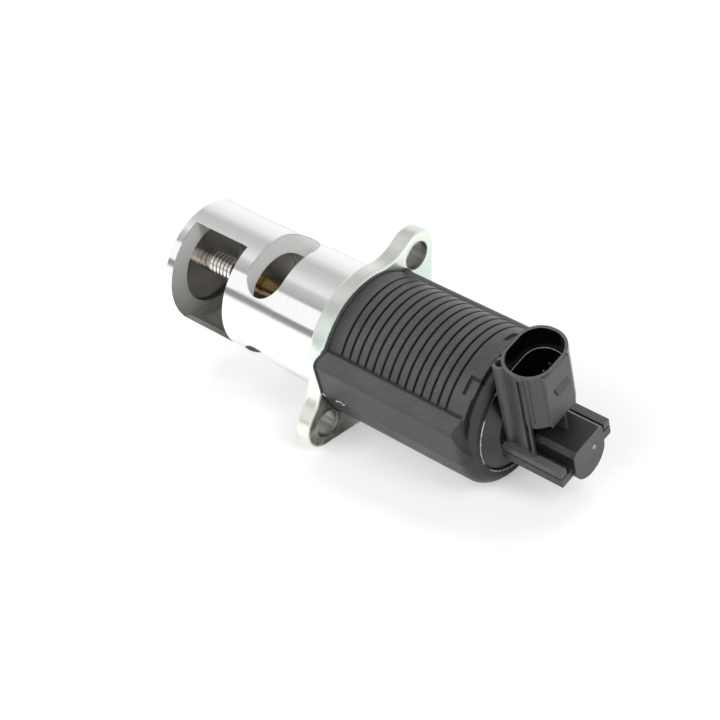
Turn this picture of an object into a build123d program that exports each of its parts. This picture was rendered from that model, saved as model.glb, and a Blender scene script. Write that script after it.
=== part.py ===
"""Electric exhaust gas recirculation valve: a windowed cartridge, a two-bolt flange and a ribbed solenoid.

The valve lies along X. The origin is on the valve's axis in the flange's mounting face, the gas end points
to -X and the connector end to +X. The connector and the housing's shelf are rolled about the axis by ROLL.
A point (a, b) on an axial plane lies a across the connector and b up towards the connector's mouth.
"""
from build123d import *
from math import acos, cos, degrees, radians, sin
import os

# How the valve lies
ROLL = 16.0  # the connector's lean about the valve's axis
BOLT_LINE = 27.7  # the bolt holes' line, from the connector's width
WINDOW_DIR = 150.5  # where the gas window faces, from the connector's width
LOWER_SLOT_DIR = 229.5  # where the lower gas slot faces

# Running and seating clearances
SEAT_GAP = 0.05  # closed valve disc to its seat
SLIDE_CLEAR = 0.02  # stem in its bush, on the radius
LOOSE_CLEAR = 0.3  # moving pieces in wide bores
CAP_CLEAR = 0.1  # cap disc in the housing's mouth
ROOT_CLEAR = 0.1  # barrel's pilot in the flange's recess

# Windowed cartridge
BODY_R = 17.5
BODY_EDGE = 0.6
PILOT_L = 15.6  # the full-size barrel that centres the valve in its port
PILOT_STEP = 0.2  # how much smaller the rest is, on the radius
ROOT_DEPTH = 0.5  # how deep the barrel's root stands in the flange
VALVE_BORE_R = 11.4
CHAMBER_WALL = 1.5
BARREL = 16.3  # mounting face to the slots
SLOT_W = 11.3
SLOT_HALF = 11.9
MID_WALL = 4.5
WINDOW_L = 18.6
WINDOW_HALF = 14.0
END_WALL = 1.0
GUARD = 1.9  # how far the guard stands beyond the end wall
GUARD_R = 14.2
NECK_R = 9.0
BUSH_L = 10.5
BUSH_WALL = 2.0
SEAL_WALL = 3.6
SEAL_T = 3.0
SEAL_LIP = 0.8
LIP_CLEAR = 0.1

# Mounting flange
FLANGE_T = 4.8
FLANGE_R = 20.2
FLANGE_LOW_R = 25.0
BOLT_R = 24.5  # circle of the bolt holes
BOLT_HOLE_R = 3.9
EAR_R = 7.1
EAR_BLEND = 14.0
FLANGE_EDGE = 1.1

# Stem and discs
STEM_R = 2.5
THREAD_R = 3.0
THREAD_L = 9.0
DISC_R = 12.6
DISC_T = 1.6
DISC_CONE = 0.8
HUB_R = 4.2
HUB_L = 2.2
HEAD_R = 3.6
HEAD_T = 0.5
STEM_TAIL = 0.7  # past the armature's clip
LIFT = 5.5

# Solenoid
POLE_PLATE_T = 3.0
CAN_R = 15.6
CAN_WALL = 1.1
COIL_L = 34.0
END_PLATE_T = 3.0
SLEEVE_R = 7.0
SLEEVE_WALL = 0.6
BOBBIN_WALL = 1.0
BOBBIN_FLANGE_T = 1.4
WINDING_R = 13.2
POLE_L = 9.4  # pole core beyond its plate
SPRING_POCKET_R = 5.4
POCKET_DEPTH = 1.0  # the spring pocket's depth in the pole plate
SHIM_T = 0.4
SHIM_EDGE = 0.1
ARMATURE_L = 17.0
ARMATURE_GAP = 0.25
ARMATURE_CLEAR = 0.12
CUP_T = 0.8
CLIP_R = 4.4
CLIP_T = 0.8
SPRING_R = 4.5
SPRING_WIRE = 0.45
SPRING_TURNS = 7
WIRE_SIDES = 6  # flats that stand for the round wire

# Ribbed coil housing
RIB_R = 19.1
GROOVE_DEPTH = 0.6
GROOVE_W = 0.5
GROOVE_PITCH = 2.55
GROOVES = 14
FIRST_GROOVE = 9.9
BAND_END = 48.8
GAP_W = 1.4
GAP_DEPTH = 2.2
COLLAR_R = 18.7
COLLAR_EDGE = 1.8
NOTCH_X = 45.8
NOTCH_W = 5.1
NOTCH_DEPTH = 0.6
NOTCH_DIRS = (119.2, 65.5)  # where the notches in the last band face
SHELL_R = 20.1
SHELL_PROUD = 0.6  # how far the flat near side stands out past the shell's radius
SHELF = 11.4
SHELF_EDGE = 1.8
SHELF_END = 48.4
SHELL_ROUND = 3.5
SLANT_LOW = 1.6  # height at which the slanted rear edge reaches the mouth
HOUSING_L = 47.4
HOUSING_CLEAR = 0.05
GASKET_IN = 16.5
GASKET_W = 1.2
GASKET_T = 1.0

# Sensor cap with the connector
MOUTH_R = 15.5
CAP_RECESS = 0.4
CAP_T = 6.0
CONE_T = 2.4  # the cap's cone beyond its disc
CONE_R = 10.4
RING_W = 1.0
RING_T = 1.6
PLATE_HALF = 10.0
PLATE_TOP = -0.4
PLATE_T = 2.0
PLATE_END = 71.8
BOSS_SLOT = 1.9
SOCKET_X = 60.8
SOCKET_HALF_L = 8.5
SOCKET_HALF_W = 6.7
SOCKET_CORNER = 6.4
SOCKET_WALL = 0.8
SOCKET_TOP = 28.0
SOCKET_FLOOR = 12.0
LEDGE = 21.4  # height of the step inside the socket
LEDGE_W = 0.5
SKIRT = 9.8
FOOT_END = 61.4  # the side feet's +X end
BACK_WALL = 2.3
KEY_X = 62.2
KEY_W = 1.6
KEY_DEPTH = 0.6
RIDGE_W = 0.5  # the thin rib beside the key groove
RIDGE_PROUD = 0.4
WEB_T = 0.8
WEB_BACK = 0.3  # the middle web's set-back from the shroud's face
PAD_NEAR = 5.4  # the latch pad's edges from the middle
PAD_FAR = 4.0
PAD_DROP = 0.6  # the flat pad's top under the mouth
PAD_PROUD = 0.1
LATCH_HALF = 2.5
LATCH_LOW = 19.0
LATCH_H = 2.4
LATCH_PROUD = 0.9
TUBE_X = 55.5
TUBE_Y = 6.7
TUBE_R = 1.9
TUBE_HOLE_R = 1.1
TUBE_DROP = 0.4
PINS = 5
PIN_PITCH = 2.54
PIN_W = 0.6
PIN_SHIFT = 0.6  # the row of pins from the shroud's middle
PIN_RISE = 6.6
PIN_TAIL = 1.2

# Sensor cover and what it holds
COVER_GAP = 0.5
COVER_T = 2.7
BOSS_HALF = 5.9
BOSS_TOP = 3.0
BOSS_DROP = 9.6
BOSS_END = 73.0
BOSS_CHAMFER = 1.2
BOSS_WALL = 1.3
TRACK_T = 0.8
PLUNGER_R = 1.5
CARRIER_FRONT = 0.2
CARRIER_L = 6.0
CARRIER_HALF = 3.6
CARRIER_H = 5.0
CARRIER_EDGE = 0.5
FINGERS = 3
FINGER_W = 0.7
FINGER_RISE = 0.65
SENSOR_SPRING_R = 1.2
SENSOR_WIRE = 0.2
SENSOR_TURNS = 5

# Stations along the axis worked out from the sizes above
mid_face = -(BARREL + SLOT_W)
window_face = mid_face - MID_WALL
end_face = window_face - WINDOW_L
end_seat = end_face - END_WALL
body_end = end_seat - GUARD
pole_face = FLANGE_T + POLE_PLATE_T
pole_tip = pole_face + POLE_L
can_end = pole_face + COIL_L
pack_end = can_end + END_PLATE_T
housing_end = FLANGE_T + HOUSING_L
armature_front = pole_tip + SHIM_T + LIFT + ARMATURE_GAP
armature_back = armature_front + ARMATURE_L
cap_face = housing_end - CAP_RECESS
cap_back = cap_face - CAP_T
cone_face = cap_face + CONE_T
cover_start = cone_face
cover_top = PLATE_TOP - PLATE_T - COVER_GAP
cavity_end = BOSS_END - BOSS_WALL
carrier_front = cover_start + LIFT + LOOSE_CLEAR + CARRIER_FRONT
carrier_back = carrier_front + CARRIER_L

across = Vector(0, cos(radians(ROLL)), sin(radians(ROLL)))
up = Vector(0, -sin(radians(ROLL)), cos(radians(ROLL)))


def axial(x):
    """The plane across the valve's axis at x, measured across and up in the connector's frame."""
    return Plane(origin=(x, 0, 0), x_dir=across, z_dir=(1, 0, 0))


def level(height):
    """The plane parallel to the connector's mouth at a height over the axis, measured along X and across."""
    return Plane(origin=up * height, x_dir=(1, 0, 0), z_dir=up)


def beside(offset):
    """The upright plane through the axis moved across by an offset, measured along X and up."""
    return Plane(origin=across * offset, x_dir=(1, 0, 0), z_dir=across * -1)


def facing(angle, distance):
    """A plane that faces away from the axis at an angle and a distance, measured along X and round."""
    out = across * cos(radians(angle)) + up * sin(radians(angle))
    return Plane(origin=out * distance, x_dir=(1, 0, 0), z_dir=out)


def turned(*profile):
    """Turns a closed profile of (x, radius) corners about the valve's axis."""
    with BuildPart() as piece:
        with BuildSketch(Plane.XY):
            with BuildLine():
                Polyline(*profile, close=True)
            make_face()
        revolve(axis=Axis.X)
    return piece


def ring(x_from, x_to, r_in, r_out):
    """A plain ring about the valve's axis."""
    return turned((x_from, r_in), (x_to, r_in), (x_to, r_out), (x_from, r_out))


def coil_spring(x_from, x_to, radius, wire, turns):
    """A round-wire spring about the valve's axis between two flat seats."""
    with BuildPart() as piece:
        start = x_from + wire
        with BuildLine():
            path = Helix((x_to - x_from - 2 * wire) / turns, x_to - x_from - 2 * wire, radius,
                         center=(start, 0, 0), direction=(1, 0, 0))
        with BuildSketch(Plane(origin=path @ 0, z_dir=path % 0)):
            RegularPolygon(wire, WIRE_SIDES)
        sweep(is_frenet=True)
    return piece


def finish(name, piece):
    """Labels a finished piece and writes it under the same name."""
    piece.part.label = name
    export_step(piece.part, f"parts/{name}.step")


os.makedirs("parts", exist_ok=True)

# Windowed cartridge: a wide chamber behind the window, a slotted bore, and a barrel with the guide bush
bush_from = -BARREL
bush_to = bush_from + BUSH_L
bush_r = STEM_R + SLIDE_CLEAR + BUSH_WALL
slim_r = BODY_R - PILOT_STEP
chamber_r = BODY_R - CHAMBER_WALL
seal_r = STEM_R + SEAL_WALL
with BuildPart() as cartridge_body:
    with BuildSketch(Plane.XY):
        with BuildLine():
            Polyline(
                (body_end, GUARD_R), (end_seat, GUARD_R), (end_seat, VALVE_BORE_R),
                (end_face, VALVE_BORE_R), (end_face, chamber_r), (window_face, chamber_r),
                (window_face, VALVE_BORE_R), (bush_from, VALVE_BORE_R), (bush_from, bush_r),
                (bush_to, bush_r), (bush_to, seal_r), (FLANGE_T, seal_r), (FLANGE_T, NECK_R),
                (ROOT_DEPTH, NECK_R), (ROOT_DEPTH, slim_r),
                (0, slim_r), (0, BODY_R), (-PILOT_L, BODY_R), (-PILOT_L, slim_r),
                (body_end + BODY_EDGE, slim_r), (body_end, slim_r - BODY_EDGE), close=True)
        make_face()
    revolve(axis=Axis.X)
    # The gas window is milled straight in from the side, over the whole length of the wide chamber
    with BuildSketch(facing(WINDOW_DIR, 0)):
        with Locations(((end_face + window_face) / 2, 0)):
            Rectangle(WINDOW_L, 2 * WINDOW_HALF)
    extrude(amount=2 * BODY_R, mode=Mode.SUBTRACT)
    # Rounded slots open the valve's bore above and below
    for direction in (90.0, LOWER_SLOT_DIR):
        with BuildSketch(facing(direction, 0)):
            with Locations(((mid_face + bush_from) / 2, 0)):
                SlotOverall(2 * SLOT_HALF, SLOT_W, rotation=90)
        extrude(amount=2 * BODY_R, mode=Mode.SUBTRACT)
    # Below the window's own side the end is cut back to the bare wall
    with BuildSketch(facing(WINDOW_DIR + 90.0, 0)):
        with Locations((body_end, 0)):
            Rectangle(2 * GUARD, 3 * BODY_R)
    extrude(amount=2 * BODY_R, mode=Mode.SUBTRACT)
finish("cartridge_body", cartridge_body)

guide_bush = ring(bush_from, bush_to, STEM_R + SLIDE_CLEAR, bush_r)
finish("guide_bush", guide_bush)

seal_to = bush_to + SEAL_T
stem_seal = turned(
    (bush_to, STEM_R + LOOSE_CLEAR), (bush_to + SEAL_LIP, STEM_R + LIP_CLEAR),
    (seal_to, STEM_R + LOOSE_CLEAR),
    (seal_to, seal_r), (bush_to, seal_r))
finish("stem_seal", stem_seal)

# Flange: a disc, fuller on its lower side, that runs into two ears
lean = degrees(acos((FLANGE_LOW_R - EAR_R) / BOLT_R))
ear_dirs = (BOLT_LINE, BOLT_LINE + 180.0)
low_dirs = (BOLT_LINE - lean, BOLT_LINE + 180.0 + lean)


def polar(radius, angle):
    """A point on an axial plane at a radius and an angle from the connector's width."""
    return Vector(radius * cos(radians(angle)), radius * sin(radians(angle)))


with BuildPart() as mounting_flange:
    with BuildSketch(axial(0)) as flange_outline:
        Circle(FLANGE_R)
        with PolarLocations(BOLT_R, 2, start_angle=BOLT_LINE):
            Circle(EAR_R)
        blends = [v for v in flange_outline.vertices() if abs(Vector(v).length - FLANGE_R) < 0.01]
        fillet([v for v in blends if Vector(v).dot(polar(1, BOLT_LINE + 90.0)) > 0], EAR_BLEND)
        with BuildLine():
            near, far = (polar(BOLT_R, ear) for ear in ear_dirs)
            near_edge, far_edge = (c + polar(EAR_R, low) for c, low in zip((near, far), low_dirs))
            Polyline(polar(FLANGE_LOW_R, low_dirs[0]), near_edge, near, far, far_edge,
                     polar(FLANGE_LOW_R, low_dirs[1]))
            CenterArc((0, 0), FLANGE_LOW_R, low_dirs[1] - 360.0, low_dirs[0] - low_dirs[1] + 360.0)
        make_face()
        Circle(NECK_R, mode=Mode.SUBTRACT)
        with PolarLocations(BOLT_R, 2, start_angle=BOLT_LINE):
            Circle(BOLT_HOLE_R, mode=Mode.SUBTRACT)
    extrude(amount=FLANGE_T)
    faces = mounting_flange.faces().filter_by(Axis.X)
    fillet(faces.sort_by(Axis.X)[0].outer_wire().edges(), FLANGE_EDGE)
    fillet(mounting_flange.faces().filter_by(Axis.X).sort_by(Axis.X)[-1].outer_wire().edges(), FLANGE_EDGE)
    # The barrel's root stands in a shallow recess
    with BuildSketch(axial(0)):
        Circle(BODY_R + ROOT_CLEAR)
    extrude(amount=ROOT_DEPTH, mode=Mode.SUBTRACT)
finish("mounting_flange", mounting_flange)

# Stem with its two discs; each disc closes on the gas end's side of its wall
end_disc_x = end_seat - SEAT_GAP
inner_disc_x = window_face - SEAT_GAP
stem_from = end_disc_x - DISC_T - HEAD_T
stem_to = armature_back + CLIP_T + STEM_TAIL
valve_stem = turned(
    (stem_from, 0), (stem_to, 0), (stem_to, STEM_R), (end_disc_x + THREAD_L, STEM_R),
    (end_disc_x + THREAD_L, THREAD_R), (end_disc_x - DISC_T, THREAD_R), (end_disc_x - DISC_T, HEAD_R),
    (stem_from, HEAD_R))
finish("valve_stem", valve_stem)


def valve_disc(face, bore):
    """A seat disc whose flat face is at x = face, thinned towards its rim on the side away from the seat."""
    return turned(
        (face - DISC_T, bore), (face, bore), (face, DISC_R), (face - DISC_T + DISC_CONE, DISC_R),
        (face - DISC_T, DISC_R - DISC_CONE))


end_valve_disc = valve_disc(end_disc_x, THREAD_R)
finish("end_valve_disc", end_valve_disc)
inner_valve_disc = valve_disc(inner_disc_x, STEM_R)
finish("inner_valve_disc", inner_valve_disc)

end_disc_collar = ring(end_disc_x, end_disc_x + HUB_L, THREAD_R, HUB_R)
finish("end_disc_collar", end_disc_collar)
inner_disc_hub = ring(inner_disc_x - DISC_T - HUB_L, inner_disc_x - DISC_T, STEM_R, HUB_R)
finish("inner_disc_hub", inner_disc_hub)

# Magnet circuit: pole core, sleeve, bobbin and winding inside a steel can
pocket_floor = pole_face - POCKET_DEPTH
can_in = CAN_R - CAN_WALL
sleeve_out = SLEEVE_R + SLEEVE_WALL
bobbin_hub = sleeve_out + BOBBIN_WALL
pole_core = turned(
    (FLANGE_T, STEM_R + LOOSE_CLEAR), (pocket_floor, STEM_R + LOOSE_CLEAR), (pocket_floor, SPRING_POCKET_R),
    (pole_tip, SPRING_POCKET_R), (pole_tip, SLEEVE_R), (pole_face, SLEEVE_R), (pole_face, CAN_R),
    (FLANGE_T, CAN_R))
finish("pole_core", pole_core)

armature_sleeve = turned(
    (pole_face, SLEEVE_R), (pack_end - SLEEVE_WALL, SLEEVE_R),
    (pack_end - SLEEVE_WALL, PLUNGER_R + LOOSE_CLEAR), (pack_end, PLUNGER_R + LOOSE_CLEAR),
    (pack_end, sleeve_out), (pole_face, sleeve_out))
finish("armature_sleeve", armature_sleeve)

coil_bobbin = turned(
    (pole_face, sleeve_out), (can_end, sleeve_out), (can_end, can_in), (can_end - BOBBIN_FLANGE_T, can_in),
    (can_end - BOBBIN_FLANGE_T, bobbin_hub), (pole_face + BOBBIN_FLANGE_T, bobbin_hub),
    (pole_face + BOBBIN_FLANGE_T, can_in), (pole_face, can_in))
finish("coil_bobbin", coil_bobbin)

coil_winding = ring(pole_face + BOBBIN_FLANGE_T, can_end - BOBBIN_FLANGE_T, bobbin_hub, WINDING_R)
finish("coil_winding", coil_winding)

yoke_can = ring(pole_face, can_end, can_in, CAN_R)
finish("yoke_can", yoke_can)

yoke_end_plate = ring(can_end, pack_end, sleeve_out, CAN_R)
finish("yoke_end_plate", yoke_end_plate)

stop_shim = ring(pole_tip, pole_tip + SHIM_T, SPRING_POCKET_R + SHIM_EDGE, SLEEVE_R - SHIM_EDGE)
finish("stop_shim", stop_shim)

armature = ring(armature_front, armature_back, STEM_R, SLEEVE_R - ARMATURE_CLEAR)
finish("armature", armature)

spring_cup = ring(armature_front - CUP_T, armature_front, STEM_R, SPRING_POCKET_R - LOOSE_CLEAR)
finish("spring_cup", spring_cup)

stem_clip = ring(armature_back, armature_back + CLIP_T, STEM_R, CLIP_R)
finish("stem_clip", stem_clip)

return_spring = coil_spring(pocket_floor, armature_front - CUP_T, SPRING_R, SPRING_WIRE, SPRING_TURNS)
finish("return_spring", return_spring)

# Housing: a ribbed barrel over a smooth shell that is flat on its near side and ends in a round collar
with BuildPart() as housing_shell:
    with BuildSketch(axial(FLANGE_T)) as shell_section:
        Circle(SHELL_R)
        with BuildLine():
            shell_flat = SHELL_R + SHELL_PROUD
            turn = degrees(acos(SHELL_R / shell_flat))
            low = (SHELL_R * cos(radians(180 + turn)), SHELL_R * sin(radians(180 + turn)))
            Polyline((0, 0), low, (-shell_flat, 0), (-shell_flat, SHELF), (0, SHELF), close=True)
        make_face()
        with Locations((0, SHELF + SHELL_R / 2)):
            Rectangle(3 * SHELL_R, SHELL_R, mode=Mode.SUBTRACT)
        fillet(shell_section.vertices().sort_by(Axis.Y)[-2:], SHELF_EDGE)
    extrude(amount=HOUSING_L)
    rear = housing_shell.faces().filter_by(Axis.X).sort_by(Axis.X)[-1]
    fillet(rear.edges(), SHELL_ROUND)
    # Under the shelf the rear edge slants back to the mouth
    with BuildSketch(beside(0)):
        with BuildLine():
            Polyline(
                (SHELF_END, SHELF), (housing_end, SLANT_LOW), (housing_end + SHELL_ROUND, SLANT_LOW),
                (housing_end + SHELL_ROUND, 2 * SHELF), (SHELF_END, 2 * SHELF), close=True)
        make_face()
    extrude(amount=2 * SHELL_R, both=True, mode=Mode.SUBTRACT)

with BuildPart() as coil_housing:
    with BuildSketch(Plane.XY):
        with BuildLine():
            ribs = [(FLANGE_T, 0), (FLANGE_T, RIB_R)]
            for n in range(GROOVES):
                x = FIRST_GROOVE + n * GROOVE_PITCH
                ribs.append((x - GROOVE_W / 2, RIB_R))
                ribs.append((x - GROOVE_W / 4, RIB_R - GROOVE_DEPTH))
                ribs.append((x + GROOVE_W / 4, RIB_R - GROOVE_DEPTH))
                ribs.append((x + GROOVE_W / 2, RIB_R))
            ribs += [(BAND_END, RIB_R), (BAND_END, RIB_R - GAP_DEPTH), (BAND_END + GAP_W, RIB_R - GAP_DEPTH)]
            ribs += [(BAND_END + GAP_W, COLLAR_R), (housing_end, COLLAR_R), (housing_end, 0)]
            Polyline(*ribs, close=True)
        make_face()
    revolve(axis=Axis.X)
    fillet(coil_housing.edges().filter_by(GeomType.CIRCLE).sort_by(Axis.X)[-1], COLLAR_EDGE)
    add(housing_shell.part)
    # Two shallow notches in the last band run out into the gap before the collar
    for direction in NOTCH_DIRS:
        with BuildSketch(facing(direction, RIB_R - NOTCH_DEPTH)):
            with Locations(((NOTCH_X + BAND_END) / 2, 0)):
                Rectangle(BAND_END - NOTCH_X, NOTCH_W)
        extrude(amount=2 * NOTCH_DEPTH, mode=Mode.SUBTRACT)
    with BuildSketch(Plane.XY):
        with BuildLine():
            inside = CAN_R + HOUSING_CLEAR
            Polyline(
                (FLANGE_T, 0), (FLANGE_T, inside), (pack_end + HOUSING_CLEAR, inside),
                (pack_end + HOUSING_CLEAR, MOUTH_R), (housing_end, MOUTH_R), (housing_end, 0), close=True)
        make_face()
        with BuildLine():
            Polyline(
                (FLANGE_T, GASKET_IN), (FLANGE_T + GASKET_T, GASKET_IN),
                (FLANGE_T + GASKET_T, GASKET_IN + GASKET_W), (FLANGE_T, GASKET_IN + GASKET_W), close=True)
        make_face()
    revolve(axis=Axis.X, mode=Mode.SUBTRACT)
finish("coil_housing", coil_housing)

housing_gasket = ring(FLANGE_T, FLANGE_T + GASKET_T, GASKET_IN, GASKET_IN + GASKET_W)
finish("housing_gasket", housing_gasket)

# Sensor cap: a disc in the housing's mouth, a forked plate over the cover and the connector's shroud
cap_r = MOUTH_R - CAP_CLEAR
ring_from = cap_back + (CAP_T - RING_T) / 2
leg_slot = BOSS_HALF + BOSS_SLOT
root_slot = BOSS_HALF + COVER_GAP
block_low = BOSS_TOP + COVER_GAP
back_x = SOCKET_X - SOCKET_HALF_W
face_x = SOCKET_X + SOCKET_HALF_W
web_end = face_x - WEB_BACK
outer = (2 * SOCKET_HALF_W, 2 * SOCKET_HALF_L, SOCKET_CORNER)
with BuildPart() as sensor_cap:
    with BuildSketch(Plane.XY):
        with BuildLine():
            Polyline((cap_back, 0), (cap_back, cap_r), (cap_face, cap_r), (cone_face, CONE_R),
                     (cone_face, 0), close=True)
        make_face()
    revolve(axis=Axis.X)
    with BuildSketch(level(PLATE_TOP)):
        with Locations(((cap_face + PLATE_END) / 2, 0)):
            Rectangle(PLATE_END - cap_face, 2 * PLATE_HALF)
        with Locations(((cap_face + PLATE_END) / 2, 0)):
            Rectangle(PLATE_END - cap_face, 2 * root_slot, mode=Mode.SUBTRACT)
        with Locations(((FOOT_END + PLATE_END) / 2, 0)):
            Rectangle(PLATE_END - FOOT_END, 2 * leg_slot, mode=Mode.SUBTRACT)
    extrude(amount=-PLATE_T)
    # Shroud over the skirt, and below it only the two feet and the wall behind
    with BuildSketch(level(SKIRT)):
        with Locations((SOCKET_X, 0)):
            RectangleRounded(*outer)
    extrude(amount=SOCKET_TOP - SKIRT)
    with BuildSketch(level(PLATE_TOP)):
        with Locations((SOCKET_X, 0)):
            RectangleRounded(*outer)
        with Locations((TUBE_X, -TUBE_Y), (TUBE_X, TUBE_Y)):
            Circle(TUBE_R)
        with Locations((SOCKET_X, 0)):
            Rectangle(4 * SOCKET_HALF_W, 2 * root_slot, mode=Mode.SUBTRACT)
        with Locations((FOOT_END + SOCKET_HALF_W, 0)):
            Rectangle(2 * SOCKET_HALF_W, 3 * SOCKET_HALF_L, mode=Mode.SUBTRACT)
    extrude(amount=SKIRT - PLATE_TOP)
    with BuildSketch(level(block_low)):
        with Locations((SOCKET_X, 0)):
            RectangleRounded(*outer)
        with Locations((SOCKET_X - SOCKET_HALF_W + BACK_WALL + 2 * SOCKET_HALF_W, 0)):
            Rectangle(4 * SOCKET_HALF_W, 3 * SOCKET_HALF_L, mode=Mode.SUBTRACT)
    extrude(amount=SKIRT - block_low)
    with BuildSketch(level(block_low)):
        with Locations(((back_x + web_end) / 2, 0)):
            Rectangle(web_end - back_x, WEB_T)
    extrude(amount=SKIRT - block_low)
    with BuildSketch(level(SKIRT)):
        with Locations((TUBE_X, -TUBE_Y)):
            Circle(TUBE_R)
    extrude(amount=SOCKET_TOP - TUBE_DROP - SKIRT)
    # A flat pad on the outer face carries the latch wedge: a ramp from above with a square step below
    with BuildSketch(level(SKIRT)):
        with Locations(((SOCKET_X + face_x + PAD_PROUD) / 2, (PAD_FAR - PAD_NEAR) / 2)):
            Rectangle(face_x - SOCKET_X + PAD_PROUD, PAD_NEAR + PAD_FAR)
    extrude(amount=SOCKET_TOP - PAD_DROP - SKIRT)
    with BuildSketch(beside(-LATCH_HALF)):
        with BuildLine():
            Polyline((face_x, LATCH_LOW), (face_x + LATCH_PROUD, LATCH_LOW),
                     (face_x + PAD_PROUD, LATCH_LOW + LATCH_H), (face_x, LATCH_LOW + LATCH_H), close=True)
        make_face()
    extrude(amount=-2 * LATCH_HALF)
    # A thin ridge beside the key groove runs down to the plate
    with BuildSketch(level(PLATE_TOP)):
        with Locations((KEY_X + KEY_W / 2 + RIDGE_W / 2, -SOCKET_HALF_L)):
            Rectangle(RIDGE_W, 2 * RIDGE_PROUD)
    extrude(amount=SOCKET_TOP - KEY_W - PLATE_TOP)
    # Socket, terminal slots, guide tube, key groove, seal groove and plunger hole
    for wall, low, high in ((SOCKET_WALL, LEDGE, SOCKET_TOP), (SOCKET_WALL + LEDGE_W, SOCKET_FLOOR, LEDGE)):
        with BuildSketch(level(low)):
            with Locations((SOCKET_X, 0)):
                RectangleRounded(outer[0] - 2 * wall, outer[1] - 2 * wall, SOCKET_CORNER - wall)
        extrude(amount=high - low, mode=Mode.SUBTRACT)
    with BuildSketch(level(SOCKET_FLOOR - PIN_TAIL)):
        with Locations((SOCKET_X - PIN_SHIFT, 0)):
            with GridLocations(0, PIN_PITCH, 1, PINS):
                Rectangle(PIN_W, PIN_W)
    extrude(amount=PIN_TAIL, mode=Mode.SUBTRACT)
    with BuildSketch(level(SOCKET_TOP - TUBE_DROP)):
        with Locations((TUBE_X, -TUBE_Y)):
            Circle(TUBE_HOLE_R)
    extrude(amount=-(SOCKET_TOP - SOCKET_FLOOR), mode=Mode.SUBTRACT)
    with BuildSketch(level(SKIRT)):
        with Locations((KEY_X, -SOCKET_HALF_L)):
            Rectangle(KEY_W, 2 * KEY_DEPTH)
    extrude(amount=SOCKET_TOP - KEY_W - SKIRT, mode=Mode.SUBTRACT)
    with BuildSketch(Plane.XY):
        with BuildLine():
            Polyline((ring_from, cap_r - RING_W), (ring_from + RING_T, cap_r - RING_W),
                     (ring_from + RING_T, MOUTH_R), (ring_from, MOUTH_R), close=True)
        make_face()
    revolve(axis=Axis.X, mode=Mode.SUBTRACT)
    with BuildSketch(axial(cap_back)):
        Circle(PLUNGER_R + LOOSE_CLEAR)
    extrude(amount=CAP_T + CONE_T, mode=Mode.SUBTRACT)
finish("sensor_cap", sensor_cap)

cap_seal_ring = ring(ring_from, ring_from + RING_T, cap_r - RING_W, MOUTH_R)
finish("cap_seal_ring", cap_seal_ring)

with BuildPart() as terminal_pins:
    with BuildSketch(level(SOCKET_FLOOR - PIN_TAIL)):
        with Locations((SOCKET_X - PIN_SHIFT, 0)):
            with GridLocations(0, PIN_PITCH, 1, PINS):
                Rectangle(PIN_W, PIN_W)
    extrude(amount=PIN_TAIL + PIN_RISE)
    chamfer(terminal_pins.faces().group_by(SortBy.AREA)[0].edges(), PIN_W / 4)
finish("terminal_pins", terminal_pins)

# Sensor cover: the lower plate and a D-shaped boss, hollow for the sensor
boss_round = -BOSS_DROP + BOSS_HALF
with BuildPart() as sensor_cover:
    with BuildSketch(level(cover_top)):
        with Locations(((cover_start + PLATE_END) / 2, 0)):
            Rectangle(PLATE_END - cover_start, 2 * PLATE_HALF)
    extrude(amount=-COVER_T)
    with BuildSketch(axial(cover_start)) as boss_section:
        with Locations((0, (BOSS_TOP + boss_round) / 2)):
            Rectangle(2 * BOSS_HALF, BOSS_TOP - boss_round)
        with Locations((0, boss_round)):
            Circle(BOSS_HALF)
        chamfer(boss_section.vertices().group_by(Axis.Y)[-1], BOSS_CHAMFER)
    extrude(amount=BOSS_END - cover_start)
    with BuildSketch(axial(cover_start)):
        with Locations((0, (BOSS_TOP + boss_round - BOSS_WALL) / 2)):
            Rectangle(2 * (BOSS_HALF - BOSS_WALL), BOSS_TOP - boss_round - BOSS_WALL)
        with Locations((0, boss_round)):
            Circle(BOSS_HALF - BOSS_WALL)
    extrude(amount=cavity_end - cover_start, mode=Mode.SUBTRACT)
finish("sensor_cover", sensor_cover)

# Position sensor: a plunger on the stem's end pushes a wiper along a resistance track
carrier_top = BOSS_TOP - BOSS_WALL - LOOSE_CLEAR
track_face = BOSS_HALF - BOSS_WALL - TRACK_T
carrier_far = track_face - FINGER_RISE
with BuildPart() as sensor_track:
    with BuildSketch(beside(track_face)):
        with Locations(((cover_start + cavity_end) / 2, carrier_top - CARRIER_H / 2)):
            Rectangle(cavity_end - cover_start - 2 * LOOSE_CLEAR, CARRIER_H)
    extrude(amount=-TRACK_T)
finish("sensor_track", sensor_track)

with BuildPart() as wiper_carrier:
    with BuildSketch(beside(carrier_far)):
        with Locations(((carrier_front + carrier_back) / 2, carrier_top - CARRIER_H / 2)):
            Rectangle(CARRIER_L, CARRIER_H)
    extrude(amount=CARRIER_HALF + carrier_far)
    fillet(wiper_carrier.edges().filter_by(Axis.X), CARRIER_EDGE)
finish("wiper_carrier", wiper_carrier)

with BuildPart() as wiper_fingers:
    with BuildSketch(beside(carrier_far)):
        with Locations(((carrier_front + carrier_back) / 2, carrier_top - CARRIER_H / 2)):
            with GridLocations(0, 2 * FINGER_W, 1, FINGERS):
                Rectangle(CARRIER_L - 2 * FINGER_W, FINGER_W)
    extrude(amount=-(track_face - carrier_far - SEAT_GAP))
finish("wiper_fingers", wiper_fingers)

with BuildPart() as sensor_plunger:
    with BuildSketch(axial(stem_to + SEAT_GAP)):
        Circle(PLUNGER_R)
    extrude(amount=carrier_front - stem_to - SEAT_GAP)
    fillet(sensor_plunger.edges().sort_by(Axis.X)[0], PLUNGER_R / 2)
finish("sensor_plunger", sensor_plunger)

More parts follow.
